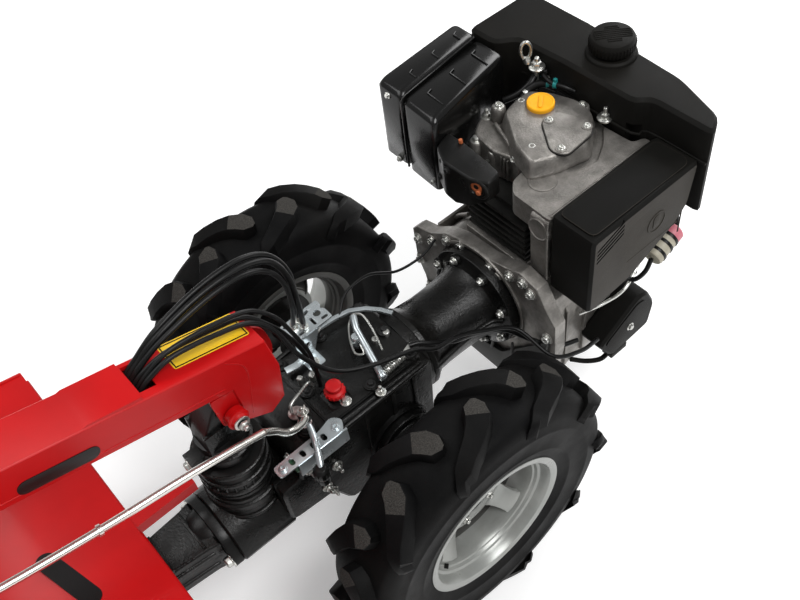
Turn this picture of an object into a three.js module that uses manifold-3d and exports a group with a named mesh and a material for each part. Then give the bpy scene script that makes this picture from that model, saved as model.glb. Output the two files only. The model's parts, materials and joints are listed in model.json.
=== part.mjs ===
// Walking tractor with rear rotary tiller. Millimetres, +X forward (engine end), +Y left, +Z up.
import * as THREE from 'three';
import { mergeVertices } from 'three/addons/utils/BufferGeometryUtils.js';
import Module from 'manifold-3d';

// ---------- driving dimensions ----------
const ORIGIN_X = 350;       // moves the whole machine so that its length is centred on the origin
const AXLE_Z = 250;
const TYRE_R = 272;         // over the lugs
const FLOOR_Z = AXLE_Z - TYRE_R;
const TRACK = 546;          // between the wheel centre planes
const RIM_HALF = 58;        // half of the rim's width over its flanges
const HUB_END = 2;          // outer end of the hub, from the wheel centre plane
const RIM_SEAT_R = 127;     // ten inch rim
const RIM_FLANGE_R = 143;
const CRANK_Z = 315;        // engine crank axis and clutch bell axis
const PTO_Z = 228;          // rear power take-off axis
const BEAM_W = 78;          // handlebar column width
const SWIVEL_X = -262;      // vertical swivel axis of the handlebar turret
const PIVOT = [-243, 530];  // X and Z of the handlebar height pivot
const ROTOR = [-600, 158];  // X and Z of the tiller rotor axis
const TINE_R = 150;
const HOOD_W = 760;
const HINGE = [-812, 322];  // X and Z of the rear flap hinge
const GAP = 0.3;            // between pieces that touch

const wasm = await Module();
wasm.setup();

// ---------- helpers ----------
const vec = (p) => new THREE.Vector3(...p);

function solid(geometry) {
  for (const name of ['normal', 'uv']) geometry.deleteAttribute(name);
  const g = mergeVertices(geometry, 1e-4);
  const index = Array.from(g.index.array);
  const tri = [];
  for (let i = 0; i < index.length; i += 3) {
    const [a, b, c] = index.slice(i, i + 3);
    if (a !== b && b !== c && c !== a) tri.push(a, b, c);
  }
  return new wasm.Manifold(new wasm.Mesh({
    numProp: 3, vertProperties: new Float32Array(g.attributes.position.array),
    triVerts: new Uint32Array(tri),
  }));
}

const join = (...parts) => parts.flat().reduce((a, b) => a.add(b));
const cut = (body, ...tools) => tools.flat().reduce((a, b) => a.subtract(b), body);

function box(x0, x1, y0, y1, z0, z1) {
  const g = new THREE.BoxGeometry(x1 - x0, y1 - y0, z1 - z0);
  return solid(g.translate((x0 + x1) / 2, (y0 + y1) / 2, (z0 + z1) / 2));
}

// A flat outline pushed along an axis. Outline pairs are (Y,Z) for x, (X,Z) for y and (X,Y) for z.
function prism(axis, outline, from, to, bevel = 0) {
  const shape = new THREE.Shape(outline.map(([a, b]) => new THREE.Vector2(a, b)));
  const g = new THREE.ExtrudeGeometry(shape, {
    depth: to - from - 2 * bevel, bevelEnabled: bevel > 0, bevelSize: bevel,
    bevelThickness: bevel, bevelOffset: -bevel, bevelSegments: 1,
  });
  g.translate(0, 0, bevel);
  const m = new THREE.Matrix4();
  if (axis === 'x') m.makeBasis(vec([0, 1, 0]), vec([0, 0, 1]), vec([1, 0, 0])).setPosition(from, 0, 0);
  if (axis === 'y') m.makeBasis(vec([1, 0, 0]), vec([0, 0, 1]), vec([0, -1, 0])).setPosition(0, to, 0);
  if (axis === 'z') m.setPosition(0, 0, from);
  return solid(g.applyMatrix4(m));
}

// Outline with its corners rounded to radius r in n steps.
function soft(outline, r, n = 2) {
  const out = [];
  outline.forEach((p, i) => {
    const a = outline.at(i - 1), b = outline[(i + 1) % outline.length];
    const la = Math.hypot(a[0] - p[0], a[1] - p[1]), lb = Math.hypot(b[0] - p[0], b[1] - p[1]);
    const k = Math.min(r, la / 2.1, lb / 2.1);
    const s = [p[0] + (a[0] - p[0]) * k / la, p[1] + (a[1] - p[1]) * k / la];
    const e = [p[0] + (b[0] - p[0]) * k / lb, p[1] + (b[1] - p[1]) * k / lb];
    for (let j = 0; j <= n; j++) {
      const t = j / n, u = 1 - t;
      out.push([u * u * s[0] + 2 * u * t * p[0] + t * t * e[0],
        u * u * s[1] + 2 * u * t * p[1] + t * t * e[1]]);
    }
  });
  return out;
}

const rect = (a0, a1, b0, b1) => [[a0, b0], [a1, b0], [a1, b1], [a0, b1]];

// Cylinder along an axis from one value to another; centre holds the other two coordinates.
function cyl(axis, centre, r, from, to, n = 24, r2 = r) {
  const g = new THREE.CylinderGeometry(r2, r, to - from, n);
  const mid = (from + to) / 2;
  if (axis === 'x') g.rotateZ(-Math.PI / 2).translate(mid, centre[0], centre[1]);
  if (axis === 'y') g.translate(centre[0], mid, centre[1]);
  if (axis === 'z') g.rotateX(Math.PI / 2).translate(centre[0], centre[1], mid);
  return solid(g);
}

// Straight round bar between two points.
function bar(p, q, r, n = 10) {
  const a = vec(p), b = vec(q), d = b.clone().sub(a);
  const g = new THREE.CylinderGeometry(r, r, d.length(), n);
  g.applyQuaternion(new THREE.Quaternion().setFromUnitVectors(vec([0, 1, 0]), d.clone().normalize()));
  return solid(g.translate(...a.add(b).multiplyScalar(0.5)));
}

// Round bar bent smoothly along points.
function bent(points, r, steps, n = 8) {
  const path = new THREE.CatmullRomCurve3(points.map(vec), false, 'centripetal');
  const ring = [];
  for (let i = 0; i < n; i++) {
    const t = i / n * 2 * Math.PI;
    ring.push(new THREE.Vector2(r * Math.cos(t), r * Math.sin(t)));
  }
  return solid(new THREE.ExtrudeGeometry(new THREE.Shape(ring), { steps, extrudePath: path }));
}

// Closed ring profile of (radius, along) pairs turned about the Y axis through (X, Z) at y.
function turned(profile, x, y, z, side, n) {
  const pos = [], tri = [], m = profile.length;
  for (let i = 0; i < n; i++) {
    const t = i / n * 2 * Math.PI;
    for (const [r, a] of profile) pos.push(x + r * Math.sin(t), y + side * a, z - r * Math.cos(t));
  }
  for (let i = 0; i < n; i++) {
    for (let j = 0; j < m; j++) {
      const a = i * m + j, b = i * m + (j + 1) % m;
      const c = ((i + 1) % n) * m + j, d = ((i + 1) % n) * m + (j + 1) % m;
      tri.push(a, c, b, b, c, d);
    }
  }
  let volume = 0;
  const at = (k) => vec(pos.slice(3 * k, 3 * k + 3));
  for (let i = 0; i < tri.length; i += 3) {
    volume += at(tri[i]).dot(at(tri[i + 1]).cross(at(tri[i + 2])));
  }
  if (volume < 0) tri.reverse();
  return new wasm.Manifold(new wasm.Mesh({
    numProp: 3, vertProperties: new Float32Array(pos), triVerts: new Uint32Array(tri),
  }));
}

const material = (hex, roughness, metalness) =>
  new THREE.MeshStandardMaterial({ color: hex, roughness, metalness });
const MAT = {
  tyre: material(0x191919, 0.9, 0), rim: material(0xb9bab7, 0.45, 0.4),
  red: material(0xb3161a, 0.35, 0.2), black: material(0x161616, 0.45, 0.3),
  plastic: material(0x1c1c1c, 0.75, 0), gloss: material(0x0e0e0e, 0.25, 0.2),
  cast: material(0x9a958d, 0.55, 0.7), zinc: material(0xb9c1c6, 0.35, 0.9),
  chrome: material(0xc9c9c9, 0.2, 1), rubber: material(0x141414, 0.85, 0),
  yellow: material(0xf0a020, 0.5, 0), cap: material(0xb01218, 0.5, 0),
  steel: material(0x6f6a64, 0.5, 0.8), fins: material(0x2b2a28, 0.6, 0.6),
};

const group = new THREE.Group();
function add(name, body, mat) {
  const mesh = body.getMesh();
  const g = new THREE.BufferGeometry();
  g.setAttribute('position', new THREE.BufferAttribute(new Float32Array(mesh.vertProperties), 3));
  g.setIndex(new THREE.BufferAttribute(new Uint32Array(mesh.triVerts), 1));
  g.translate(ORIGIN_X, 0, -FLOOR_Z);
  const part = new THREE.Mesh(g, MAT[mat]);
  part.name = name;
  group.add(part);
}

// ---------- engine ----------
const FLANGE = [[188, 345], [184, 265], [165, 226], [150, 150], [128, 122], [-150, 122], [-176, 226],
  [-186, 300], [-184, 372], [-164, 396], [-140, 438], [-100, 448], [-70, 436], [-20, 422], [50, 418],
  [92, 402], [136, 370], [176, 358]];

function crankcase() {
  const flange = prism('x', FLANGE, 285 + GAP, 312);
  const body = prism('x', soft([[150, 150], [150, 330], [95, 396], [-95, 410], [-150, 380],
    [-150, 150], [-120, 122], [120, 122]], 20), 310, 490, 6);
  const deck = box(322, 478, -72, 72, 390, 414);
  return join(flange, body, deck);
}

function cylinder() {
  const core = box(345, 460, -56, 56, 414 + GAP, 512);
  const fins = [];
  for (let i = 0; i < 6; i++) fins.push(box(328, 474, -70, 70, 420 + i * 15, 427 + i * 15));
  return join(core, fins);
}

function cylinderHead() {
  return prism('z', soft([[402, -62], [470, -74], [535, -40], [535, 60], [500, 96], [462, 104],
    [444, 134], [408, 124], [382, 106], [374, 50], [384, 14], [376, -6], [392, -14], [400, -40]], 7),
  512 + GAP, 572, 3);
}

const COVER = [[429, 84], [381, 12], [366, -44], [398, -60], [473, -80], [538, -30], [543, 12],
  [527, 60], [501, 96], [452, 92]];

function rockerCover() {
  const dome = prism('z', soft(COVER, 12), 572 + GAP, 610, 5);
  const plate = prism('z', soft([[455, 16], [412, -46], [422, -72], [491, -66], [506, -44], [490, 8]], 14),
    606, 615, 1.5);
  return join(dome, plate);
}

function intakeHousing() {
  const top = prism('z', soft([[326, -118], [329, -44], [348, -24], [384, -18], [392, -84], [540, -84],
    [560, -128]], 9), 520, 571.5, 4);
  const leg = prism('y', soft([[322, 571], [375, 571], [362, 470], [348, 424], [322, 424]], 8), -132.5, -96, 3);
  const rear = prism('y', soft([[322, 560], [560, 560], [540, 500], [340, 440]], 8), -132.5, -112);
  const trumpet = cyl('y', [350, 528], 30, -110, -78, 20);
  return cut(join(top, leg, rear, trumpet), box(340, 545, -84, 0, 500, 567));
}

function airFilterCover() {
  const shell = prism('y', soft([[321, 412], [321, 588], [572, 591], [560, 500], [530, 470], [420, 420]], 10),
    -223, -133, 5);
  const slots = [];
  for (let i = 0; i < 4; i++) {
    const s = prism('y', [[332, 0], [392, 24], [392, 28], [332, 4]], -230, -218);
    slots.push(s.translate([0, 0, 532 + i * 9]));
  }
  return cut(shell, slots);
}

function fanHousing() {
  const disc = cyl('x', [0, CRANK_Z], 152, 490 + GAP, 560, 36, 138);
  const duct = prism('x', soft([[-120, 300], [120, 300], [92, 505], [-92, 505]], 14), 490 + GAP, 500);
  const starter = cyl('x', [0, CRANK_Z], 96, 558, 592, 28, 84);
  return join(disc, duct, starter);
}

function fuelTank() {
  const outline = soft([[510, 250], [510, 186], [546, 160], [552, 60], [552, -96], [575, -112], [575, -238],
    [616, -214], [650, -112], [664, 100], [664, 250]], 14, 2);
  const tank = prism('z', outline, 470, 653, 6);
  const slope = prism('y', [[667, 660], [720, 660], [720, 460], [636, 460]], -300, 300);
  return cut(tank, slope, box(500, 566 + GAP, -236, -84, 460, 600));
}

const TANK_CAP = [622, 14];

function tankCap() {
  const profile = [];
  for (let i = 0; i < 48; i++) {
    const t = i / 48 * 2 * Math.PI, r = i % 2 ? 36 : 38;
    profile.push([TANK_CAP[0] + r * Math.cos(t), TANK_CAP[1] + r * Math.sin(t)]);
  }
  return join(prism('z', profile, 664, 690), cyl('z', TANK_CAP, 28, 653 + GAP, 666));
}

function muffler() {
  const seam = [[302, 196], [508, 226]];
  const inner = prism('z', soft([[298, 110], [507, 154], seam[1], [302, 196]], 12), 479, 643, 6);
  const outer = prism('z', soft([[302, 196], seam[1], [509, 284], [302, 262]], 12), 484, 655, 6);
  const rim = prism('z', [[296, 191], [509.5, 221], [509.5, 229], [296, 199]], 476, 658);
  const inside = prism('z', [[309, 122], [495, 162], [495, 268], [316, 250]], 492, 632);
  const outlet = cyl('y', [470, 530], 14, 220, 300, 14);
  const ribs = [];
  for (let i = 0; i < 3; i++) {
    const x = 340 + i * 58;
    ribs.push(box(x, x + 8, 132 + i * 12, 190 + i * 8, 640, 648));
  }
  return cut(join(inner, outer, rim, ribs), inside, outlet);
}

function exhaustShield() {
  const plan = soft([[295, 104], [312, 112.6], [334, 117], [336, 84], [331, 19], [326, -16], [295, -22],
    [281, 9], [279, 71]], 6);
  const shell = prism('z', plan, 512, 600, 3);
  const under = prism('x', [[-60, 500], [-60, 574], [-22, 560], [14, 535], [46, 520], [84, 526], [130, 530],
    [130, 500]], 260, 360);
  return cut(shell, under, cyl('x', [-2, 580], 13, 270, 300, 20));
}

function regulatorBox() {
  const shell = prism('y', soft([[388, 232], [486, 295], [514, 290], [540, 238], [530, 180], [426, 170]], 10),
    -205, -152, 5);
  const strap = box(430, 500, -156, -150 - GAP, 196, 250);
  return join(shell, strap);
}

// ---------- transmission ----------
function bellHousing() {
  const c = [0, CRANK_Z];
  const ribs = [];
  for (let i = 0; i < 4; i++) {
    const rib = box(118, 270, -4, 4, 60, 82);
    ribs.push(rib.rotate([45 + i * 90, 0, 0]).translate([0, 0, CRANK_Z]));
  }
  return join(cyl('x', c, 78, 100 + GAP, 116), cyl('x', c, 68, 114, 240, 20), cyl('x', c, 67, 238, 268, 20, 92),
    cyl('x', c, 100, 266, 285, 32), ribs);
}

// Two-bolt flange of the power take-off, half width w at the bolts, as (Y, Z) pairs.
const diamond = (w) => soft([[-w, 0], [-0.64 * w, 46], [0, 66], [0.64 * w, 46], [w, 0], [0.64 * w, -46],
  [0, -66], [-0.64 * w, -46]].map(([y, z]) => [y, PTO_Z + z]), 14);

function gearbox() {
  const side = soft([[-236, 236], [-150, 226], [-120, 160], [56, 166], [84, 222], [92, 380], [60, 392],
    [-182, 395], [-196, 380], [-196, 330], [-236, 326]], 12);
  const main = prism('y', side, -88, 88, 5);
  const lid = prism('z', soft(rect(-120, 76, -80, 80), 12), 388, 400);
  const rear = prism('x', diamond(86), -334, -226, 3);
  const bulge = cyl('y', [0, AXLE_Z], 64, -97, 97, 20);
  const neck = cyl('x', [0, CRANK_Z], 80, 80, 100, 20);
  const seat = join(cyl('z', [SWIVEL_X, 0], 57, 230, 336, 24), cyl('z', [SWIVEL_X, 0], 60, 326, 334, 24));
  const boss = cyl('z', [-77, -42], 15, 398, 408, 16);
  return join(main, lid, rear, bulge, neck, seat, boss);
}

const fillerCap = () => join(cyl('z', [-77, -42], 15, 408 + GAP, 420, 16), cyl('z', [-77, -42], 13, 420, 430, 16));

const axleHousing = (s) => {
  const body = cyl('y', [0, AXLE_Z], 46, 97 + GAP, 205, 24);
  const flange = cyl('y', [0, AXLE_Z], 60, 97 + GAP, 112, 24);
  return join(body, flange).scale([1, s, 1]);
};

function shiftGate() {
  const plate = prism('z', soft([[-232, -104], [-232, -82], [-140, -80], [-112, -72], [-100, -86],
    [-112, -104]], 7), 404, 407);
  const posts = [cyl('z', [-190, -94], 5, 384, 409, 8), cyl('z', [-118, -94], 5, 384, 409, 8)];
  const slots = [];
  for (let i = 0; i < 4; i++) slots.push(box(-204 + i * 20, -196 + i * 20, -97, -87, 400, 410));
  const foot = box(-196, -112, -97, -88 - GAP, 372, 392);
  return cut(join(plate, posts, foot), slots);
}

function shiftLever() {
  const arm = bent([[-148, -74, 416], [-160, -100, 418], [-177, -130, 404]], 6, 6);
  const post = cyl('z', [-150, -60], 10, 400 + GAP, 424, 12);
  const link = bar([-150, -60, 416], [-150, -78, 416], 7);
  const knob = cyl('z', [-177, -133], 15, 388, 410, 14);
  return join(arm, post, link, knob);
}

function cableBracket() {
  const foot = box(-74, -50, 24, 58, 400 + GAP, 404);
  const leg = box(-74, -50, 54, 58, 402, 450);
  const shelf = prism('z', soft([[-78, 54], [3, 56], [3, 103], [-78, 99]], 8), 447, 451);
  return join(foot, leg, shelf);
}

function brakeLever() {
  const post = cyl('z', [10, 8], 8, 400 + GAP, 432, 12);
  const arm = bar([33, 42, 430], [-5, -78, 418], 6.5);
  return join(post, arm);
}

function ptoCoupling() {
  return prism('x', diamond(84), -352, -334 - GAP, 2);
}

// ---------- tiller ----------
function tillerNeck() {
  return prism('z', [[-352 - GAP, -52], [-352 - GAP, 52], [-372, 47], [-440, 40], [-520, 34],
    [-520, -34], [-440, -40], [-372, -47]].reverse(), PTO_Z - 40, PTO_Z + 40, 3);
}

function tillerGearcase() {
  const side = soft([[-560, 350], [-520 - GAP, 330], [-520 - GAP, 182], [-560, ROTOR[1] - 30],
    [-584, ROTOR[1] - 48], [-616, ROTOR[1] - 48], [-640, ROTOR[1] - 20], [-636, 300]], 14);
  const body = prism('y', side, -32, 32, 4);
  return cut(body, cyl('y', ROTOR, 20.5, -40, 40, 24));
}

function rotor() {
  const parts = [cyl('y', ROTOR, 20, -352, 352, 24)];
  for (const s of [-1, 1]) {
    [96, 206, 316].forEach((y, k) => {
      parts.push(cyl('y', ROTOR, 62, s * y - 5, s * y + 5, 6));
      for (let i = 0; i < 4; i++) {
        const leg = prism('y', [[38, -17], [TINE_R - 14, -17], [TINE_R - 6, -4], [TINE_R - 14, 15], [38, 17]], 0, 8);
        const blade = box(TINE_R - 20, TINE_R - 13, 0, 44, -15, 15);
        const flip = i % 2 ? 1 : -1;
        const tine = i % 2 ? join(leg, blade) : join(leg.translate([0, -8, 0]),
          box(TINE_R - 20, TINE_R - 13, -44, 0, -15, 15));
        parts.push(tine.rotate([0, i * 90 + k * 30, 0]).translate([ROTOR[0], s * y + flip * 4, ROTOR[1]]));
      }
    });
  }
  return join(parts);
}

function hood() {
  const half = HOOD_W / 2, t = 4;
  const top = [[-442, 372], [-442, 402], [-560, 426], [-640, 424], [-760, 378], [-808, 334]];
  const inner = top.map(([x, z]) => [x + (x > -450 ? -t : 0), z - t]);
  inner[0][1] = 372;
  const sheet = prism('y', [...top, ...inner.slice().reverse()], -half, half);
  const cheek = soft([[-446, 376], [-446, 402], [-560, 424], [-640, 422], [-760, 376], [-806, 332],
    [-790, 210], [-730, 120], [-560, 120], [-470, 210]], 10);
  const sides = [-1, 1].map((s) => prism('y', cheek, s > 0 ? half - 5 : -half, s > 0 ? half : 5 - half));
  const saddle = [-1, 1].map((s) => box(-640, -560, s > 0 ? 32 + GAP : -42, s > 0 ? 42 : -32 - GAP, 300, 424));
  const arm = prism('z', [[-470, -12], [-446, -12], [-334, -10], [-334, 2], [-446, 22], [-470, 22]], 376, 398);
  const lug = box(-466, -444, -16, 16, PTO_Z + 40 + GAP, 380);
  const socket = box(-794, -752, -16, 16, 350, 436);
  const slot = box(-784 - GAP, -762 + GAP, -6 - GAP, 6 + GAP, 300, 450);
  return cut(join(sheet, sides, saddle, arm, lug, socket), slot);
}

function rearFlap() {
  const y = HOOD_W / 2 - 14;
  const sheet = prism('y', [[-815, 316], [-811, 316], [-812, 130], [-804, 62], [-808, 60], [-816, 130]], -y, y);
  const roll = cyl('y', HINGE, 9, -y, y, 12);
  return join(sheet, roll);
}

function depthSkid() {
  const z = FLOOR_Z;
  return prism('y', [[-784, 500], [-762, 500], [-762, z + 60], [-752, z + 16], [-712, z + 8], [-700, z],
    [-776, z], [-784, z + 20]], -6, 6);
}

// ---------- handlebar ----------
function turret() {
  const base = cyl('z', [SWIVEL_X, 0], 57, 336 + GAP, 414, 24);
  const lip = cyl('z', [SWIVEL_X, 0], 59, 342, 348, 24);
  const neck = cyl('z', [SWIVEL_X, 0], 42, 412, 462, 20);
  const post = prism('y', soft([[-300, 450], [-222, 450], [-220, 520], [-226, 552], [-262, 552], [-292, 500]], 8),
    -24, 24, 2);
  const boss = cyl('y', PIVOT, 22, -29, 29);
  const pin = cyl('y', PIVOT, 9, -66, 66, 20);
  const sleeves = [-1, 1].map((s) => cyl('y', PIVOT, 15, s > 0 ? 42 : -56, s > 0 ? 56 : -42, 16));
  return join(base, lip, neck, post, boss, pin, sleeves);
}

function column() {
  const half = BEAM_W / 2;
  const side = [[-160, 629], [-150, 560], [-158, 486], [-186, 468], [-224, 490], [-230, 575],
    [-870, 735], [-870, 811]];
  const body = prism('y', side, -half, half, 2);
  const hollow = prism('y', [[-140, 616], [-140, 440], [-236, 440], [-236, 582], [-862, 740], [-862, 801]],
    3.5 - half, half - 3.5);
  const ears = [-1, 1].map((s) => prism('y', soft([[-268, 580], [-214, 570], [-220, 508], [-262, 508]], 8),
    s > 0 ? 30 : -36, s > 0 ? 36 : -30));
  const cowl = prism('y', [[-344, 672], [-344, 682], [-420, 699], [-430, 697]], -37, 37);
  const mouth = prism('y', [[-318, 640], [-318, 700], [-342, 700], [-342, 640]], -24, 30);
  const open = cut(join(cut(body, hollow), ears, cowl), mouth);
  return cut(open, cyl('y', PIVOT, 9.5, -60, 60, 20), box(-262, -212, -24.6 - 5, 24.6 + 5, 500, 640));
}

const ARM = [[-850, 30, 770], [-890, 90, 782], [-930, 190, 806], [-1000, 262, 846], [-1120, 288, 905],
  [-1220, 290, 950]];

function handlebar() {
  const left = bent(ARM, 15, 14, 8), right = left.mirror([0, 1, 0]);
  const cross = bar([-874, -70, 776], [-874, 70, 776], 15, 10);
  const socket = box(-892, -870 - GAP, -30, 30, 745, 805);
  const body = cut(join(left, right, cross, socket), box(-870 - GAP, -800, -100, 100, 700, 900));
  return body;
}

const grip = (s) => bar([-1221, s * 290, 950.4], [-1340, s * 290, 1004], 19, 16);

function handLever(s) {
  const blade = bent([[-1150, s * 286, 885], [-1180, s * 288, 878], [-1230, s * 290, 898],
    [-1310, s * 290, 944]], 6, 10);
  return blade;
}

function controlBox() {
  const shell = prism('y', soft([[-780, 792.5], [-800, 828], [-850, 846], [-866, 812]], 8), -42, 42, 2);
  const lever = bar([-822, 14, 830], [-836, 16, 880], 4, 8);
  return join(shell, lever);
}

const ROD = [[-221.5, -72, 490.2], [-272, -72, 503], [-357, -72, 521], [-483, -72, 542], [-640, -70, 574],
  [-800, -66, 622], [-872, -62, 650], [-890, -60, 690], [-894, -60, 730]];
const ROD_END = [[-143, -56, 433], [-148, -64, 440], [-162, -71, 441], [-187, -72, 449], [-204, -72, 473],
  [-215.4, -72, 487.4]];

function shiftRod() {
  const knob = cyl('z', [-894, -60], 14, 722, 752, 14);
  const guide = join(box(-806, -794, -72, -39 - GAP, 632, 640), box(-806, -794, -78, -60, 614, 640));
  return join(bent(ROD, 6, 18, 8), knob, guide);
}

const CABLES = [
  [[-372, 18, 646], [-344, 18, 660.5], [-318, 19, 676], [-280, 22, 695], [-202, 33, 704], [-130, 40, 697],
    [-81, 45, 666], [-57, 50, 603], [-49, 62, 520], [-46, 70, 452]],
  [[-372, 2, 646], [-344, 2, 660.5], [-318, 2, 675], [-278, 2, 681], [-208, 5, 662], [-160, 10, 638], [-130, 13, 592],
    [-106, 15, 541], [-86, 10, 480], [-76, 4, 404]],
  [[-372, -14, 646], [-344, -14, 660.5], [-318, -13, 676], [-278, -12, 684], [-208, -10, 665], [-160, -8, 641],
    [-128, -6, 590], [-104, -14, 510], [-66, -40, 458], [-6, -62, 437], [66, -74, 418], [101, -88, 402],
    [150, -88, 388], [200, -98, 366], [256, -122, 340], [274, -190, 310], [330, -206, 284], [384, -200, 262]],
];

// ---------- wheels ----------
function tyre(s) {
  const half = [[RIM_SEAT_R + GAP, 40], [RIM_SEAT_R + GAP, RIM_HALF - 4.5], [146, RIM_HALF - 4.5], [174, 63],
    [212, 64], [244, 60], [264, 51], [TYRE_R, 36]];
  const inside = [[150, 46], [182, 55], [244, 44]];
  const out = [...half, ...half.slice().reverse().map(([r, a]) => [r, -a])];
  const back = [...inside.map(([r, a]) => [r, -a]), ...inside.slice().reverse()];
  return turned([...out, ...back], 0, s * TRACK / 2, AXLE_Z, s, 36);
}

function rim(s) {
  const o = [[RIM_FLANGE_R, RIM_HALF], [RIM_FLANGE_R, RIM_HALF - 4], [RIM_SEAT_R, RIM_HALF - 4.2],
    [RIM_SEAT_R, 38], [112, 28]];
  const i = [[108, 31], [123, 41], [123, RIM_HALF - 0.5]];
  const other = (p) => p.slice().reverse().map(([r, a]) => [r, -a]);
  const ring = [...o, ...other(o), ...other(i), ...i];
  const y0 = s * TRACK / 2;
  const barrel = turned(ring, 0, y0, AXLE_Z, s, 36);
  const dish = turned([[118, 38], [94, 33], [78, -8], [34, -8], [34, -12], [81, -12], [97, 29], [118, 34]],
    0, y0, AXLE_Z, s, 36);
  const windows = [];
  for (let k = 0; k < 4; k++) {
    const w = prism('y', [[66, -34], [95, -46], [106, 0], [95, 46], [66, 34]], y0 - 50, y0 + 50);
    windows.push(w.rotate([0, k * 90, 0]).translate([0, 0, AXLE_Z]));
  }
  return join(barrel, cut(dish, windows));
}

function hub(s) {
  const c = [0, AXLE_Z], y0 = TRACK / 2;
  return join(cyl('y', c, 20, 205 + GAP, y0 - 4, 20), cyl('y', c, 34, 211, y0 - 14, 24),
    cyl('y', c, 62, y0 - 20, y0 - 12 - GAP, 32), cyl('y', c, 30, y0 - 14, y0 + HUB_END, 20)).scale([1, s, 1]);
}

// ---------- assembly ----------
add('crankcase', crankcase(), 'cast');
add('cylinder', cylinder(), 'fins');
add('cylinder_head', cylinderHead(), 'cast');
add('rocker_cover', rockerCover(), 'cast');
add('oil_cap', cyl('z', [485, 47], 19, 610 + GAP, 624, 24), 'yellow');
add('intake_housing', intakeHousing(), 'cast');
add('air_filter_cover', airFilterCover(), 'plastic');
add('fan_housing', fanHousing(), 'plastic');
add('fuel_tank', fuelTank(), 'plastic');
add('tank_cap', tankCap(), 'plastic');
add('muffler', muffler(), 'gloss');
add('exhaust_shield', exhaustShield(), 'black');
add('regulator_box', regulatorBox(), 'plastic');
add('bell_housing', bellHousing(), 'black');
add('gearbox', gearbox(), 'black');
add('filler_cap', fillerCap(), 'cap');
add('axle_housing_left', axleHousing(1), 'black');
add('axle_housing_right', axleHousing(-1), 'black');
add('shift_gate', shiftGate(), 'zinc');
add('shift_lever', shiftLever(), 'black');
add('cable_bracket', cableBracket(), 'zinc');
add('brake_lever', brakeLever(), 'zinc');
add('pto_coupling', ptoCoupling(), 'black');
add('tiller_neck', tillerNeck(), 'black');
add('tiller_gearcase', tillerGearcase(), 'black');
add('rotor', rotor(), 'steel');
add('tiller_hood', hood(), 'red');
add('rear_flap', rearFlap(), 'red');
add('depth_skid', depthSkid(), 'black');
add('turret', turret(), 'black');
add('column', column(), 'red');
add('handlebar', handlebar(), 'black');
add('control_box', controlBox(), 'plastic');
add('shift_rod', shiftRod(), 'chrome');
add('shift_rod_end', bent(ROD_END, 6, 10, 8), 'chrome');
CABLES.forEach((route, i) => add(`cable_${i + 1}`, bent(route, i === 0 ? 5 : 4, 22, 6), 'rubber'));
for (const [name, s] of [['left', 1], ['right', -1]]) {
  add(`grip_${name}`, grip(s), 'rubber');
  add(`hand_lever_${name}`, handLever(s), 'red');
  add(`hub_${name}`, hub(s), 'black');
  add(`rim_${name}`, rim(s), 'rim');
  add(`tyre_${name}`, tyre(s), 'tyre');
}

export default group;
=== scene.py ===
import bpy, bmesh, json, random
from math import atan2, cos, degrees, hypot, pi, radians, sin, sqrt
from mathutils import Matrix, Vector
from mathutils.geometry import tessellate_polygon


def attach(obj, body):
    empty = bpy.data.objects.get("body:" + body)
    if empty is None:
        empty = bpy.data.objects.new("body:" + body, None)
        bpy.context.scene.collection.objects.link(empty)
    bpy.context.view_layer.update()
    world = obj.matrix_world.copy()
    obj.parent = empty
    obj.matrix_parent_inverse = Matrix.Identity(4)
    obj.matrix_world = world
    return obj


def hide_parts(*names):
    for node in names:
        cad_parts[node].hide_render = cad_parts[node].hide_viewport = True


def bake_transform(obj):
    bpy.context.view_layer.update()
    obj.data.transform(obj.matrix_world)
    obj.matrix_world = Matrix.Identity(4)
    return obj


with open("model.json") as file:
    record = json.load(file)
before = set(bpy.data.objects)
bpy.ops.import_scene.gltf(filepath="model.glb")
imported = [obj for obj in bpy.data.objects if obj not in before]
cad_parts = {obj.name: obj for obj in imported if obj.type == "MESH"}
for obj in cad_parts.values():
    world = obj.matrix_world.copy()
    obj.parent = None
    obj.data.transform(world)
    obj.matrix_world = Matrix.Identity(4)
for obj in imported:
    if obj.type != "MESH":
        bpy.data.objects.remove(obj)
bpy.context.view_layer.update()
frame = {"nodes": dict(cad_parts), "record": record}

SHIFT, RISE = 350.0, 22.0          # mm, from the wheel axle's frame to the part's frame
AXLE, TRACK, CRANK = 250, 546, 315    # heights of wheel axle and crank axis, distance between the wheels
PTO, SWIVEL = 228, -262               # height of the tiller drive, place of the handlebar's upright axis
UP, DOWN, FRONT, BACK, RIGHT = (0, 0, 1), (0, 0, -1), (1, 0, 0), (-1, 0, 0), (0, -1, 0)
PIVOT, ROTOR_X, ROTOR_Z = (-243, 0, 530), -600, 158    # the handlebar's tilting axis and the rotor's axis
FILLER, LEVER, LEVER_END = (-77, -42), (-150, -60), (-179, -134)    # on the gearbox's lid, X and Y
rng = random.Random(11)


# ---------- materials ----------
def shader(tree, kind, operation=None, **values):
    """Shader node of a kind with its operation and the values of its inputs."""
    made = tree.nodes.new("ShaderNode" + kind)
    if operation:
        made.operation = operation
    for key, value in values.items():
        made.inputs[key.replace("_", " ")].default_value = value
    return made


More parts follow.
